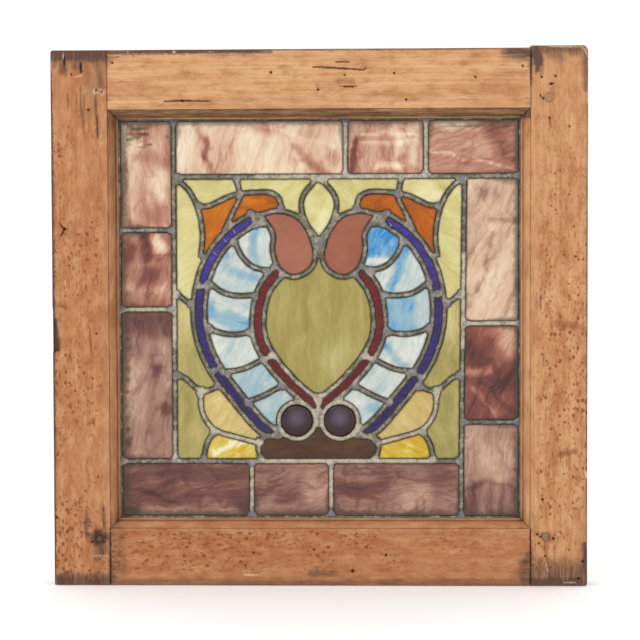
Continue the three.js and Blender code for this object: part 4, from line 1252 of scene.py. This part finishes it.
# Each piece: its kind, its tone from 0 pale to 1 dark, the direction of its streaks in degrees, and its
# washes: the change of tone, half the width in millimetres, and a path across the piece in fractions.
PIECES = {
    # The border pieces run paler at the head and darker at the foot: the glass's own streaks, with painted
    # shade from the light above.
    "border_left_top": ("rose", 0.42, 90, (
        (-0.2, 9, [(0.1, 0.95), (0.1, 0.7)]),
        (0.4, 1.6, [(0.02, 0.98), (0.25, 0.93), (0.15, 0.88), (0.5, 0.89)]),
        (-0.2, 6, [(0.3, 0.75)]), (0.16, 6, [(0.35, 0.66), (1, 0.64)]),
        (-0.16, 6, [(0.25, 0.6), (0.25, 0.1)]), (-0.2, 5, [(0.75, 0.5), (0.75, 0.3)]),
        (0.16, 8, [(0.7, 0.12)]))),
    "border_top_long": ("rose", 0.14, 80, (
        (0.24, 4, [(0.12, 0.98), (0.175, 0.6), (0.19, 0.1)]), (0.32, 2.4, [(0.175, 0.66), (0.175, 0.33)]),
        (0.2, 16, [(0.28, 0.5), (0.25, 0.1)]), (0.26, 6, [(0.5, 0.95), (0.58, 0.85)]),
        (-0.1, 1.5, [(0.55, 0.9), (0.95, 0.5)]), (0.26, 4, [(0.72, 0.5), (0.8, 0.2), (0.88, 0.02)]),
        (0.26, 8, [(0.95, 0.3)]), (0.18, 16, [(0.85, 0.7), (0.85, 0.3)]))),
    "border_top_short": ("rose", 0.42, 90, (
        (0.4, 2.5, [(0.13, 0.65), (0.05, 0.05)]), (-0.2, 1.5, [(0.2, 0.75), (0.9, 0.75)]),
        (-0.2, 1.5, [(0.2, 0.6), (0.9, 0.6)]), (-0.3, 3, [(0.4, 0.12), (0.7, 0.12)]),
        (-0.2, 4, [(0.65, 0.9), (0.65, 0.2)]), (-0.2, 4, [(0.85, 0.9), (0.85, 0.2)]))),
    "border_top_corner": ("rose", 0.47, 20, (
        (-0.35, 4, [(0.1, 0.95), (0.5, 0.95)]), (0.22, 9, [(0.72, 0.86), (0.85, 0.45)]),
        (-0.26, 0.9, [(0, 0.45), (1, 0.08)]))),
    "border_right_upper": ("border", 0.23, 66, (
        (0.2, 7, [(0.4, 0.9)]), (0.14, 12, [(0.1, 0.8), (0.14, 0.45)]),
        (0.18, 2.4, [(0.45, 0.72), (1, 0.72)]),
        (0.2, 2, [(0.5, 0.62), (0.42, 0.4), (0.25, 0.2)]), (0.16, 1.8, [(0.62, 0.38), (0.5, 0.25)]),
        (0.18, 2.4, [(1, 0.3), (0.75, 0.05)]))),
    "border_right_middle": ("rose", 0.76, 60, (
        (0.16, 9, [(0.15, 0.75), (0.35, 0.62)]), (0.16, 8, [(0.6, 0.42), (0.85, 0.4)]),
        (-0.42, 10, [(0.75, 0.92), (0.8, 0.74)]), (-0.28, 4, [(0, 0.5), (0.45, 0.52)]),
        (-0.2, 2, [(0.1, 0.35), (0.6, 0.05)]), (0.15, 2, [(0.3, 0.4), (0.9, 0.1)]))),
    "border_right_lower": ("border", 0.46, 88, (
        (0.2, 14, [(0, 0.12), (1, 0.12)]), (0.16, 2, [(0, 0.28), (0.4, 0.36), (0.8, 0.34), (1, 0.28)]),
        (0.14, 2.4, [(0.2, 0.32), (0.2, 0)]), (0.14, 2.4, [(0.52, 0.32), (0.5, 0)]),
        (0.12, 2.4, [(0.7, 0.3), (0.72, 0)]))),
    "border_foot_right": ("border", 0.66, 0, (
        (0.16, 7, [(0, 0.45), (0.4, 0.55)]), (0.12, 6, [(0.8, 0.75), (0.95, 0.7)]),
        (-0.18, 10, [(0.6, 0.25), (0.95, 0.2)]))),
    "border_foot_middle": ("border", 0.64, 15, (
        (0.16, 7, [(0.4, 0.35), (0.6, 0.4)]), (-0.14, 10, [(0.75, 0.5), (0.85, 0.5)]))),
    "border_foot_corner": ("border", 0.76, 10, (
        (0.15, 6, [(0.33, 0.7)]), (0.2, 1.5, [(0, 0.52), (0.3, 0.35), (0.45, 0.2)]),
        (-0.25, 6, [(0.2, 0.06), (0.9, 0.06)]))),
    "border_left_lower": ("border", 0.54, 80, (
        (0.3, 14, [(0.2, 0.92), (0.8, 0.92)]), (-0.12, 11, [(0.35, 0.6), (0.35, 0.35)]),
        (0.3, 5, [(0.7, 0.62)]), (0.3, 5, [(0.85, 0.35)]), (0.35, 3, [(0.1, 0.12)]))),
    "border_left_middle": ("rose", 0.58, 70, (
        (-0.5, 6, [(0.72, 0.85)]), (0.36, 5, [(0.5, 0.95), (0.5, 0.7)]), (0.24, 8, [(0.15, 0.75)]),
        (0.24, 8, [(0.55, 0.42)]), (-0.2, 7, [(0.2, 0.25)]), (-0.25, 8, [(0.8, 0.2)]))),
    # The ground pieces darken from the head of the window to the foot: painted shade, as the light falls from
    # above.
    "ground_upper_sliver": ("ground", 0.22, 30, ()),
    "ground_top": ("ground", 0.3, 20, ()),
    "ground_top_right": ("ground", 0.32, 20, ((-0.25, 9, [(0.4, 0.5), (0.6, 0.4)]), (0.3, 4, [(0.75, 0.7)]))),
    "ground_inner": ("ground", 0.28, 40, ()),
    "ground_middle": ("ground", 0.5, 85, ((0.2, 20, [(0.5, 0.1), (0.5, 0.3)]), (-0.15, 16, [(0.5, 0.9)]))),
    "ground_lower": ("ground", 0.72, 80, ((-0.12, 10, [(0.6, 0.3)]),)),
    "almond": ("ground", 0.26, 75, (
        (-0.22, 6, [(0.5, 0.25), (0.6, 0.4)]), (0.16, 4, [(0.3, 0.8)]), (-0.2, 3, [(0.3, 0.45)]))),
    "teardrop": ("olive", 0.48, 90, (
        (-0.2, 12, [(0.7, 0.3), (0.6, 0.2)]), (-0.14, 9, [(0.3, 0.35)]), (0.2, 5, [(0.35, 0.9), (0.38, 0.5)]),
        (0.15, 4, [(0.7, 0.9), (0.68, 0.55)]))),
    "leaf_outer_left": ("orange", 0.3, 60, ()),
    "leaf_outer_right": ("orange", 0.5, 120, ()),
    "leaf_inner_left": ("orange", 0.54, 5, (
        (-0.36, 2.5, [(0.3, 0.8), (0.7, 0.8)]), (-0.3, 2, [(0.1, 0.35), (0.5, 0.35)]))),
    "leaf_inner_right": ("orange", 0.56, 30, ((0.16, 4, [(0.4, 0.6)]), (-0.2, 3, [(0.7, 0.3)]))),
    "comma_left": ("terracotta", 0.42, 0, ()),
    "comma_right": ("terracotta", 0.56, 0, ()),
    "petal_1_left": ("petal", 0.16, 85, ((0.42, 4, [(0.45, 1), (0.45, 0)]),)),
    "petal_2_left": ("petal", 0.24, 60, (
        (0.45, 4, [(0.3, 0.75)]), (0.36, 4, [(0.35, 0.5), (0.95, 0.3)]))),
    "petal_3_left": ("petal", 0.14, -20, (
        (0.6, 6, [(0, 0.5), (1, 0.15)]), (0.2, 4, [(0.3, 0.75), (0.9, 0.6)]))),
    "petal_4_left": ("petal", 0.14, 60, ((0.16, 4, [(0.4, 0.6)]),)),
    "petal_5_left": ("petal", 0.46, 50, ((-0.12, 4, [(0.7, 0.5)]),)),
    "petal_6_left": ("petal", 0.4, 50, ((-0.2, 4, [(0.4, 0.6)]),)),
    "petal_1_right": ("petal", 0.94, 70, ((-0.8, 4, [(0.1, 0.1), (0.9, 0.12)]), (-0.3, 3, [(0.8, 0.6)]))),
    "petal_2_right": ("petal", 0.22, 60, ((0.6, 3.6, [(0.62, 0.95), (0.35, 0.05)]),)),
    "petal_3_right": ("petal", 0.7, 85, ((-0.3, 8, [(0.85, 0.2), (0.85, 0.8)]),)),
    "petal_4_right": ("petal", 0.14, 60, ((0.5, 4, [(0.15, 0.6), (0.5, 0.1)]),)),
    "petal_5_right": ("petal", 0.2, 60, ((0.24, 7, [(0.2, 0.8)]),)),
    "petal_6_right": ("petal", 0.24, 60, ((0.42, 7, [(0.8, 0.5)]),)),
    "ribbon_upper": ("blue", 0.26, 0, ()),
    "ribbon_middle": ("blue", 0.5, 0, ()),
    "ribbon_lower": ("blue", 0.66, 0, ()),
    "red_ribbon_upper": ("red", 0.4, 0, ()),
    "red_ribbon_lower": ("red", 0.5, 0, ()),
    "kidney_left": ("straw", 0.32, 50, ((-0.2, 6, [(0.25, 0.75)]),)),
    "kidney_right": ("straw", 0.5, 130, ((-0.15, 6, [(0.4, 0.4)]),)),
    "corner_yellow_left": ("yellow", 0.38, 40, (
        (-0.4, 3, [(0.15, 0.3), (0.5, 0.6), (0.9, 0.75)]), (-0.2, 3, [(0.6, 0.2)]))),
    "corner_yellow_right": ("yellow", 0.56, 150, ((-0.3, 4, [(0.6, 0.4)]),)),
    "base_brown": ("brown", 0.45, 0, ((-0.15, 6, [(0.8, 0.5)]),)),
}
# Breaks in the glass: the piece, and the two ends of the crack in millimetres.
CRACKS = (
    ("ribbon_upper_left", (-87.5, 357.5), (-81.5, 350)), ("ribbon_upper_left", (-108, 335), (-100, 329.5)),
    ("ribbon_upper_left", (-97.5, 348.5), (-90.5, 342)), ("ribbon_upper_right", (71, 362), (76, 354.5)),
)
# Old dirt and rust dried on the glass: paths in millimetres, half widths and strengths.
STAINED = (
    ([(-195, 457), (-172, 458)], 1.8, 0.9), ([(-193, 452), (-182, 450.5), (-170, 452.5)], 1.6, 1.0),
    ([(-193, 447), (-180, 446)], 1.5, 1.0), ([(-190, 441.5), (-178, 440), (-168, 442.5)], 1.4, 0.9),
    ([(-195, 440), (-194, 398)], 2.0, 0.6), ([(-194, 384), (-194, 364)], 1.6, 0.5),
    ([(120, 459.5), (196, 459)], 2.4, 0.7), ([(197, 457), (197.5, 400)], 2.0, 0.6),
    ([(174, 447), (188, 437)], 8, 0.34), ([(148, 150), (148.5, 112)], 1.5, 0.5),
    ([(196, 156), (196.5, 78)], 1.8, 0.6), ([(-194, 118), (-194, 78)], 1.8, 0.5),
    ([(196.5, 390), (197, 280)], 1.4, 0.4),
    *(([(-193.5, z)], 2.8, 0.95) for z in (256, 247, 238, 229, 217, 206, 193, 180, 168, 155, 142)),
    *(([(x, 74), (x + 1.5, 77 + 7 * x % 10)], 2.0, 0.75)
      for x in (30, 37, 50, 57, 63, 80, 97, 104, 113, 129)),
    *(([(x, 74), (x, 76 + x % 5)], 2.0, 0.6)
      for x in (-186, -168, -150, -121, -96, -48, -30, -8, 152, 168, 181)),
)


def streaky_glass(kind):
    """Sheet glass of one kind, rolled by hand on an iron table: milky colours drawn out into streaks, a
    surface that wavers and shines softly, and a dark band along the cames. Dirt and painted shade make the
    band."""
    _, shades, (length, width), strength, veins, roughness, name = KINDS[kind]
    material, tree, shader = new_material(name)
    fields = {key: add_node(tree, "ShaderNodeAttribute", attribute_name=key)
              for key in ("flow", "tone", "edge", "crack", "soil_and_shade", "stain")}
    flow = fields["flow"].outputs["Vector"]
    wander = add_node(tree, "ShaderNodeTexNoise", {
        "Vector": flow, "Scale": 0.04, "Detail": 3.0})      # the streaks wander every 25 mm
    shift = add_node(tree, "ShaderNodeVectorMath", {
        0: wander.outputs["Color"], 1: (16.0, 16.0, 0.0)}, operation="MULTIPLY")
    bent = add_node(tree, "ShaderNodeVectorMath", {0: flow, 1: shift}, operation="ADD")
    changes = []
    for along_it, across, detail, share in (
            (length, width, 4.0, 1.0), (length * 0.8, width * 0.3, 3.0, 0.4),
            (length * 0.25, width * 0.16, 4.0, 0.55)):
        drawn = add_node(tree, "ShaderNodeMapping", {
            "Vector": bent, "Scale": (1 / along_it, 1 / across, 1.0)})
        noise = add_node(tree, "ShaderNodeTexNoise", {
            "Vector": drawn, "Scale": 1.0, "Detail": detail, "Roughness": 0.55})
        changes.append(add_node(tree, "ShaderNodeMapRange", {
            "Value": noise, "From Min": 0.25, "From Max": 0.75,
            "To Min": -share * strength, "To Max": share * strength}))
    # Veins: thin darker lines where a third noise passes through its middle.
    drawn = add_node(tree, "ShaderNodeMapping", {
        "Vector": bent, "Scale": (0.6 / length, 0.45 / width, 1.0)})
    noise = add_node(tree, "ShaderNodeTexNoise", {"Vector": drawn, "Scale": 1.0, "Detail": 2.0})
    ridge = add_node(tree, "ShaderNodeMath", {0: noise, 1: 0.5}, operation="SUBTRACT")
    ridge = add_node(tree, "ShaderNodeMath", {0: ridge}, operation="ABSOLUTE")
    changes.append(add_node(tree, "ShaderNodeMapRange", {
        "Value": ridge, "From Max": 0.04, "To Min": veins, "To Max": 0.0}))
    tone = fields["tone"]
    for change in changes:
        tone = add_node(tree, "ShaderNodeMath", {0: tone, 1: change}, operation="ADD")
    colour = add_node(tree, "ShaderNodeValToRGB", {"Fac": tone}, stops=[
        (k / (len(shades) - 1), rgba(shade)) for k, shade in enumerate(shades)])
    # The dark band along the cames, dirt and painted shade: it reaches further near the sash and in the
    # corners.
    cloud = add_node(tree, "ShaderNodeTexNoise", {
        "Vector": flow, "Scale": 0.16, "Detail": 4.0})      # clouds of dirt 6 mm across
    spread = add_node(tree, "ShaderNodeMapRange", {"Value": fields["soil_and_shade"], "To Min": 3.4, "To Max": 22.0})
    reach = add_node(tree, "ShaderNodeMath", {0: cloud, 1: spread}, operation="MULTIPLY")
    grime_and_shade = add_node(tree, "ShaderNodeMapRange", {
        "Value": fields["edge"], "From Min": 0.1, "From Max": reach, "To Min": 0.85, "To Max": 0.0})
    broken = add_node(tree, "ShaderNodeMath", {0: fields["stain"], 1: cloud}, operation="MULTIPLY")
    dried = add_node(tree, "ShaderNodeMapRange", {
        "Value": broken, "From Min": 0.08, "From Max": 0.5, "To Max": 0.9})
    for factor, over in (
            (dried, rgba("57482A")), (grime_and_shade, (*settings().glass.grime_and_shade, 1)),
            (fields["crack"], rgba("EFE9DC"))):
        colour = add_node(tree, "ShaderNodeMix", {
            "Factor_Float": factor, "A_Color": colour, "B_Color": over}, data_type="RGBA")
    ripple = add_node(tree, "ShaderNodeTexNoise", {
        "Vector": flow, "Scale": 0.22, "Detail": 2.0})      # ripples 4.5 mm apart
    bump = add_node(tree, "ShaderNodeBump", {"Height": ripple, "Strength": 0.7, "Distance": 0.5 * MM})
    set_inputs(tree, shader, {"Base Color": colour, "Normal": bump, "Roughness": roughness, "IOR": 1.52,
                              "Specular IOR Level": 0.25})
    return material


def recipe(name):
    """A piece's kind, tone, streak direction and washes: its own, or those its mirrored pair shares."""
    base, _, side = name.rpartition("_")
    found = PIECES.get(name) or PIECES[base]
    if name in PIECES or side == "left":
        return found
    kind, tone, direction, washes = found
    return kind, tone + 0.03, 180 - direction, tuple(
        (change, width, [(1 - u, v) for u, v in path]) for change, width, path in washes)


EDGE_GAP = 0.05         # the line between the glass's face and the came
UNDER_CAME = 0.35       # how far the glass runs on under the cames
RIM_ROW = 1.5           # how far in from the edge the mesh's first row is
CRACK_DEPTH = 0.35
CRACK_SIDE = 0.3        # how far a crack strays from straight, and how far off the points beside it are
SOIL_REACH = 40         # how far in from the cames the dirt is measured
WANDER = 2.5            # how far the washes of colour stray from their paths


def crack_points(name, seed):
    """The points along a piece's cracks, and the points on either side of them."""
    along_it, beside = np.zeros((0, 2)), np.zeros((0, 2))
    for piece, a, b in CRACKS:
        if piece != name:
            continue
        a, b = np.array(a), np.array(b)
        way = (b - a) / np.hypot(*(b - a))
        side = CRACK_SIDE * np.array([-way[1], way[0]])
        for part in np.linspace(0, 1, 16):
            middle = a + (b - a) * part + side * math.sin(part * 9 + seed)
            along_it = np.vstack([along_it, middle])
            beside = np.vstack([beside, middle + side, middle - side])
    return along_it, beside


def glass_tone(x, z, low, high, tone, washes, seed):
    """How dark the colour is at each place of a piece: its own tone, its washes, and a slow drift."""
    shade = np.full(len(x), float(tone))
    stray_x, stray_z = WANDER * drift(x, z, 13, seed + 2), WANDER * drift(x, z, 13, seed + 3)
    for change, width, path in washes:
        place = [(low[0] + a * (high[0] - low[0]), low[1] + b * (high[1] - low[1])) for a, b in path]
        shade += change * stroke(x + stray_x, z + stray_z, place, width * 1.25)
    u, v = (x - low[0]) / (high[0] - low[0]), (z - low[1]) / (high[1] - low[1])
    return shade + 0.07 * drift(u * 3, v * 3, 1, seed + 4)


def sheet_of_glass(name, ring, material, seed):
    """A piece of sheet glass that fills its opening and runs a little way under the cames round it."""
    glass = settings().glass
    kind, tone, direction, washes = recipe(name)
    low, high = ring.min(axis=0), ring.max(axis=0)
    front = ring - EDGE_GAP * outward(ring)
    under = ring + UNDER_CAME * outward(ring)
    cracked, beside = crack_points(name, seed)
    spots = np.vstack([lattice(low, high, glass.step / MM), front - RIM_ROW * outward(front), beside])
    spots = np.vstack([spots[nearest(cracked, spots) > 0.28], cracked])
    spots = spots[inside(front, spots)]
    spots = spots[nearest(front, spots) > 0.9]
    flat, triangles, (rim,) = fill([front], spots)

    # The front and the back rise and fall together, and lie flat along the cames.
    edge = np.minimum(nearest(front, flat), SOIL_REACH)
    edge[rim] = 0
    wave = glass.wave / MM * (drift(*flat.T, 9, seed) + 0.6 * drift(*flat.T, 4, seed + 1)) * ramp(edge, 0, 4)
    crack = np.where(nearest(cracked, flat) < 0.05, 1.0, 0.0)
    count, n = len(flat), len(ring)
    layers = ((flat, GLASS_FRONT - wave + CRACK_DEPTH * crack),
              (under, np.full(n, (GLASS_FRONT + GLASS_BACK) / 2)), (flat, GLASS_BACK + 0.4 * wave))
    points = np.vstack([np.stack([at[:, 0], depth, at[:, 1]], axis=1) for at, depth in layers])
    faces = [list(t) for t in triangles]
    faces += [[i + count + n for i in t[::-1]] for t in triangles]
    for i in range(n):
        j = (i + 1) % n
        faces.append([rim[i], rim[j], count + j, count + i])
        faces.append([count + i, count + j, rim[j] + count + n, rim[i] + count + n])

    x, y, z = points.T
    turn = math.radians(direction)
    fields = {
        "flow": np.stack([x * math.cos(turn) + z * math.sin(turn) + 97 * seed,
                          z * math.cos(turn) - x * math.sin(turn) + 53 * seed, y], axis=1),
        "tone": glass_tone(x, z, low, high, tone, washes, seed),
        "edge": np.concatenate([edge, np.zeros(n), edge]),
        "soil_and_shade": glass_soil_and_shade(x, z),
        "stain": painted(x, z, STAINED),
        "crack": np.concatenate([crack, np.zeros(n + count)]),
    }
    replaced = [name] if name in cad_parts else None
    make_piece(f"{name}_pane", points, faces, replaced, material, fields)


class BuildGlass(bpy.types.Operator):
    """Build the flat pieces of glass, each in its own opening of the lead"""
    bl_idname = "leaded_window.build_glass"
    bl_label = "Sheet glass"

    def execute(self, context):
        materials = {}
        for seed, (name, ring) in enumerate(sorted(named_openings().items())):
            if name.startswith("jewel"):
                continue
            kind = recipe(name)[0]
            if kind not in materials:
                materials[kind] = streaky_glass(kind)
            sheet_of_glass(name, ring, materials[kind], seed + 1)
        return {"FINISHED"}


def jewel_glass():
    """Plum glass, pressed in a mould and fire polished, with smoky wisps and a soft shine: its colour is
    painted paler towards a spot above its middle, a painted highlight, and near black out to its rim and most
    at its foot, painted shade."""
    material, tree, shader = new_material("Plum glass, pressed")
    place = add_node(tree, "ShaderNodeTexCoord")
    height = add_node(tree, "ShaderNodeAttribute", attribute_name="dome")
    smoke = add_node(tree, "ShaderNodeTexNoise", {
        "Vector": place.outputs["Object"], "Scale": 110.0, "Detail": 3.0})      # wisps 9 mm across
    mottled = add_node(tree, "ShaderNodeMath", {
        0: smoke.outputs["Fac"], 1: 0.35, 2: -0.17}, operation="MULTIPLY_ADD")
    depth = add_node(tree, "ShaderNodeMath", {0: height, 1: mottled}, operation="ADD")
    # The dome field sets the colour: palest at the painted highlight above the middle, near black towards the
    # rim and foot as painted shade.
    colour = add_node(tree, "ShaderNodeValToRGB", {"Fac": depth}, stops=[
        (0.0, rgba("340C10")), (0.4, rgba("2E1821")), (1.0, rgba("564558"))])
    set_inputs(tree, shader, {"Base Color": colour, "Roughness": 0.12, "IOR": 1.52,
                              "Specular IOR Level": 0.4})
    return material


JEWEL_FLANGE = 0.3      # how far a jewel's rim runs on under the came
HIGHLIGHT_RISE = 0.22         # a jewel's painted highlight is centred this far above its middle, in radii


class BuildJewels(bpy.types.Operator):
    """Build the two domed jewels at the foot of the design"""
    bl_idname = "leaded_window.build_jewels"
    bl_label = "Jewels"

    def execute(self, context):
        plum = jewel_glass()
        for side in ("left", "right"):
            ring = named_openings()[f"jewel_{side}"]
            centre = ring.mean(axis=0)
            radius = float(np.hypot(*(ring - centre).T).min()) - 0.05
            low, _ = box_mm(f"jewel_{side}")
            dome = GLASS_FRONT - low[1]
            flange = radius + JEWEL_FLANGE
            profile = [(radius, GLASS_BACK - 0.2), (flange, GLASS_BACK - 0.8), (flange, GLASS_FRONT + 0.6),
                       (radius, GLASS_FRONT)]
            profile += [(radius * math.cos(a), GLASS_FRONT - dome * math.sin(a) ** 0.85)
                        for a in np.linspace(0.08, math.pi / 2, 16)[:-1]]
            profile.append((0, GLASS_FRONT - dome))
            points, faces = lathe(centre, profile, 64)
            points = np.array(points)
            # The dome field is 1 at the painted highlight above the jewel's middle and falls away from it, to
            # 0 over the foot: painted shade there.
            highlight_centre = centre + (0, HIGHLIGHT_RISE * radius)
            reach = np.hypot(points[:, 0] - highlight_centre[0], points[:, 2] - highlight_centre[1]) / radius
            fields = {"dome": np.clip(1 - reach ** 1.4, 0, 1)}
            make_piece(f"jewel_{side}_domed", points, faces, [f"jewel_{side}"], plum, fields)
        return {"FINISHED"}


def linseed_putty():
    """Linseed putty, knifed in and never painted: chalky grey brown, dragged along by the knife."""
    material, tree, shader = new_material("Linseed putty, knifed")
    place = add_node(tree, "ShaderNodeTexCoord").outputs["Object"]
    lumps = add_node(tree, "ShaderNodeTexNoise", {
        "Vector": place, "Scale": 130.0, "Detail": 5.0, "Roughness": 0.6})      # lumps 8 mm across
    grit = add_node(tree, "ShaderNodeTexNoise", {
        "Vector": place, "Scale": 900.0, "Detail": 2.0})        # grit 1 mm across
    colour = add_node(tree, "ShaderNodeValToRGB", {"Fac": lumps}, stops=[
        (0.3, rgba("6E6654")), (0.5, rgba("958C76")), (0.72, rgba("B4AB94"))])
    relief = add_node(tree, "ShaderNodeMath", {0: lumps, 1: grit}, operation="ADD")
    bump = add_node(tree, "ShaderNodeBump", {"Height": relief, "Strength": 0.8, "Distance": 0.6 * MM})
    set_inputs(tree, shader, {"Base Color": colour, "Normal": bump, "Roughness": 0.85})
    return material


class FinishPutty(bpy.types.Operator):
    """Finish the bead of putty that holds the panel from behind"""
    bl_idname = "leaded_window.finish_putty"
    bl_label = "Putty bead"

    def execute(self, context):
        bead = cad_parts["putty_bead"]
        bead.data.materials.clear()
        bead.data.materials.append(linseed_putty())
        return {"FINISHED"}


# ---- The studio ----

FLOOR_HALF = 6.0            # metres
FLOOR_GAP = 0.5 * MM        # the floor lies this far below the sash
# Each lamp: its name, its place and width in metres, and its share of the key's power.
LAMPS = (("key", (-1.2, -1.6, 2.1), 1.2, 1.0), ("fill", (1.6, -1.9, 1.0), 1.6, 0.3))
SENSOR_WIDTH = 36           # millimetres
FOCAL_LENGTH = 112.5


def matt_paper():
    """Paper, matt white and lit a little from beneath: it takes a soft shadow and gives no shine."""
    material, tree, shader = new_material("Paper, matt white")
    place = add_node(tree, "ShaderNodeTexCoord").outputs["Object"]
    tooth = add_node(tree, "ShaderNodeTexNoise", {
        "Vector": place, "Scale": 400.0, "Detail": 2.0})        # the paper's tooth, 2.5 mm
    bump = add_node(tree, "ShaderNodeBump", {"Height": tooth, "Strength": 0.05, "Distance": 0.1 * MM})
    set_inputs(tree, shader, {
        "Base Color": (*settings().studio.paper, 1), "Normal": bump, "Roughness": 0.9,
        "Emission Color": (1, 1, 1, 1), "Emission Strength": 0.06})
    return material


def lay_floor(scene):
    """A pale sheet just under the sash."""
    mesh = bpy.data.meshes.new("floor")
    half, level = FLOOR_HALF, CAD_BOX[0][2] - FLOOR_GAP
    corners = [(-half, -half, level), (half, -half, level), (half, half, level), (-half, half, level)]
    mesh.from_pydata(corners, [], [(0, 1, 2, 3)])
    mesh.materials.append(matt_paper())
    floor = bpy.data.objects.new("floor", mesh)
    scene.collection.objects.link(floor)


def light_room(scene, middle):
    """A white light all round, and two large soft lamps that face the sash."""
    studio = settings().studio
    world = bpy.data.worlds.new("Studio")
    world.use_nodes = True
    sky = world.node_tree.nodes["Background"]
    set_inputs(world.node_tree, sky, {"Color": (1, 1, 1, 1), "Strength": studio.sky})
    scene.world = world
    for name, spot, size, share in LAMPS:
        lamp = bpy.data.lights.new(name, "AREA")
        lamp.shape = "DISK"
        lamp.size = size
        lamp.energy = studio.key_power * share
        light = bpy.data.objects.new(name, lamp)
        light.location = spot
        light.rotation_euler = (middle - Vector(spot)).to_track_quat("-Z", "Y").to_euler()
        scene.collection.objects.link(light)


def place_camera(scene, middle):
    """A long lens, almost square on to the sash."""
    studio = settings().studio
    lens = bpy.data.cameras.new("camera")
    lens.sensor_width = SENSOR_WIDTH
    lens.lens = FOCAL_LENGTH
    lens.shift_x, lens.shift_y = studio.shift_x, studio.shift_y
    camera = bpy.data.objects.new("camera", lens)
    level, aside = studio.elevation, studio.azimuth
    way = Vector((math.sin(aside) * math.cos(level), -math.cos(aside) * math.cos(level), math.sin(level)))
    camera.matrix_world = (
        Matrix.Translation(middle + way * studio.distance)
        @ way.to_track_quat("Z", "Y").to_matrix().to_4x4() @ Matrix.Rotation(studio.roll, 4, "Z"))
    scene.collection.objects.link(camera)
    scene.camera = camera


class BuildStudio(bpy.types.Operator):
    """Build the pale floor, the soft light and the camera"""
    bl_idname = "leaded_window.build_studio"
    bl_label = "Studio"

    def execute(self, context):
        middle = Vector((0, FRONT_Y * MM, (CAD_BOX[0][2] + TOP_HIGH[2] * MM) / 2))
        lay_floor(context.scene)
        light_room(context.scene, middle)
        place_camera(context.scene, middle)
        context.scene.view_settings.view_transform = "Standard"
        return {"FINISHED"}


# ---- The add-on ----

class WindowSettings(bpy.types.PropertyGroup):
    sash: PointerProperty(type=SashSettings, name="Sash", description="The pine sash")
    lead: PointerProperty(type=LeadSettings, name="Lead", description="The cames and their joints")
    glass: PointerProperty(type=GlassSettings, name="Glass", description="The sheet glass")
    studio: PointerProperty(type=StudioSettings, name="Studio", description="Light and camera")


STEPS = (BuildSash, BuildPins, BuildLead, BuildGlass, BuildJewels, FinishPutty, BuildStudio)


class LeadedWindowPanel(bpy.types.Panel):
    """Lists what builds the window and the sizes and colours it uses"""
    bl_idname = "VIEW3D_PT_leaded_window"
    bl_label = "Leaded window"
    bl_space_type = "VIEW_3D"
    bl_region_type = "UI"
    bl_category = "Leaded window"

    def draw(self, context):
        for step in STEPS:
            self.layout.operator(step.bl_idname)
        for name in ("sash", "lead", "glass", "studio"):
            group = getattr(settings(), name)
            box = self.layout.box()
            box.label(text=name.capitalize())
            for key in group.__annotations__:
                box.prop(group, key)


CLASSES = (
    SashSettings, LeadSettings, GlassSettings, StudioSettings, WindowSettings, *STEPS, LeadedWindowPanel)


def register():
    for each in CLASSES:
        bpy.utils.register_class(each)
    bpy.types.Scene.leaded_window = PointerProperty(type=WindowSettings)


def unregister():
    del bpy.types.Scene.leaded_window
    for each in reversed(CLASSES):
        bpy.utils.unregister_class(each)


def main():
    register()
    for step in STEPS:
        family, name = step.bl_idname.split(".")
        getattr(getattr(bpy.ops, family), name)()


if __name__ == "__main__":
    main()
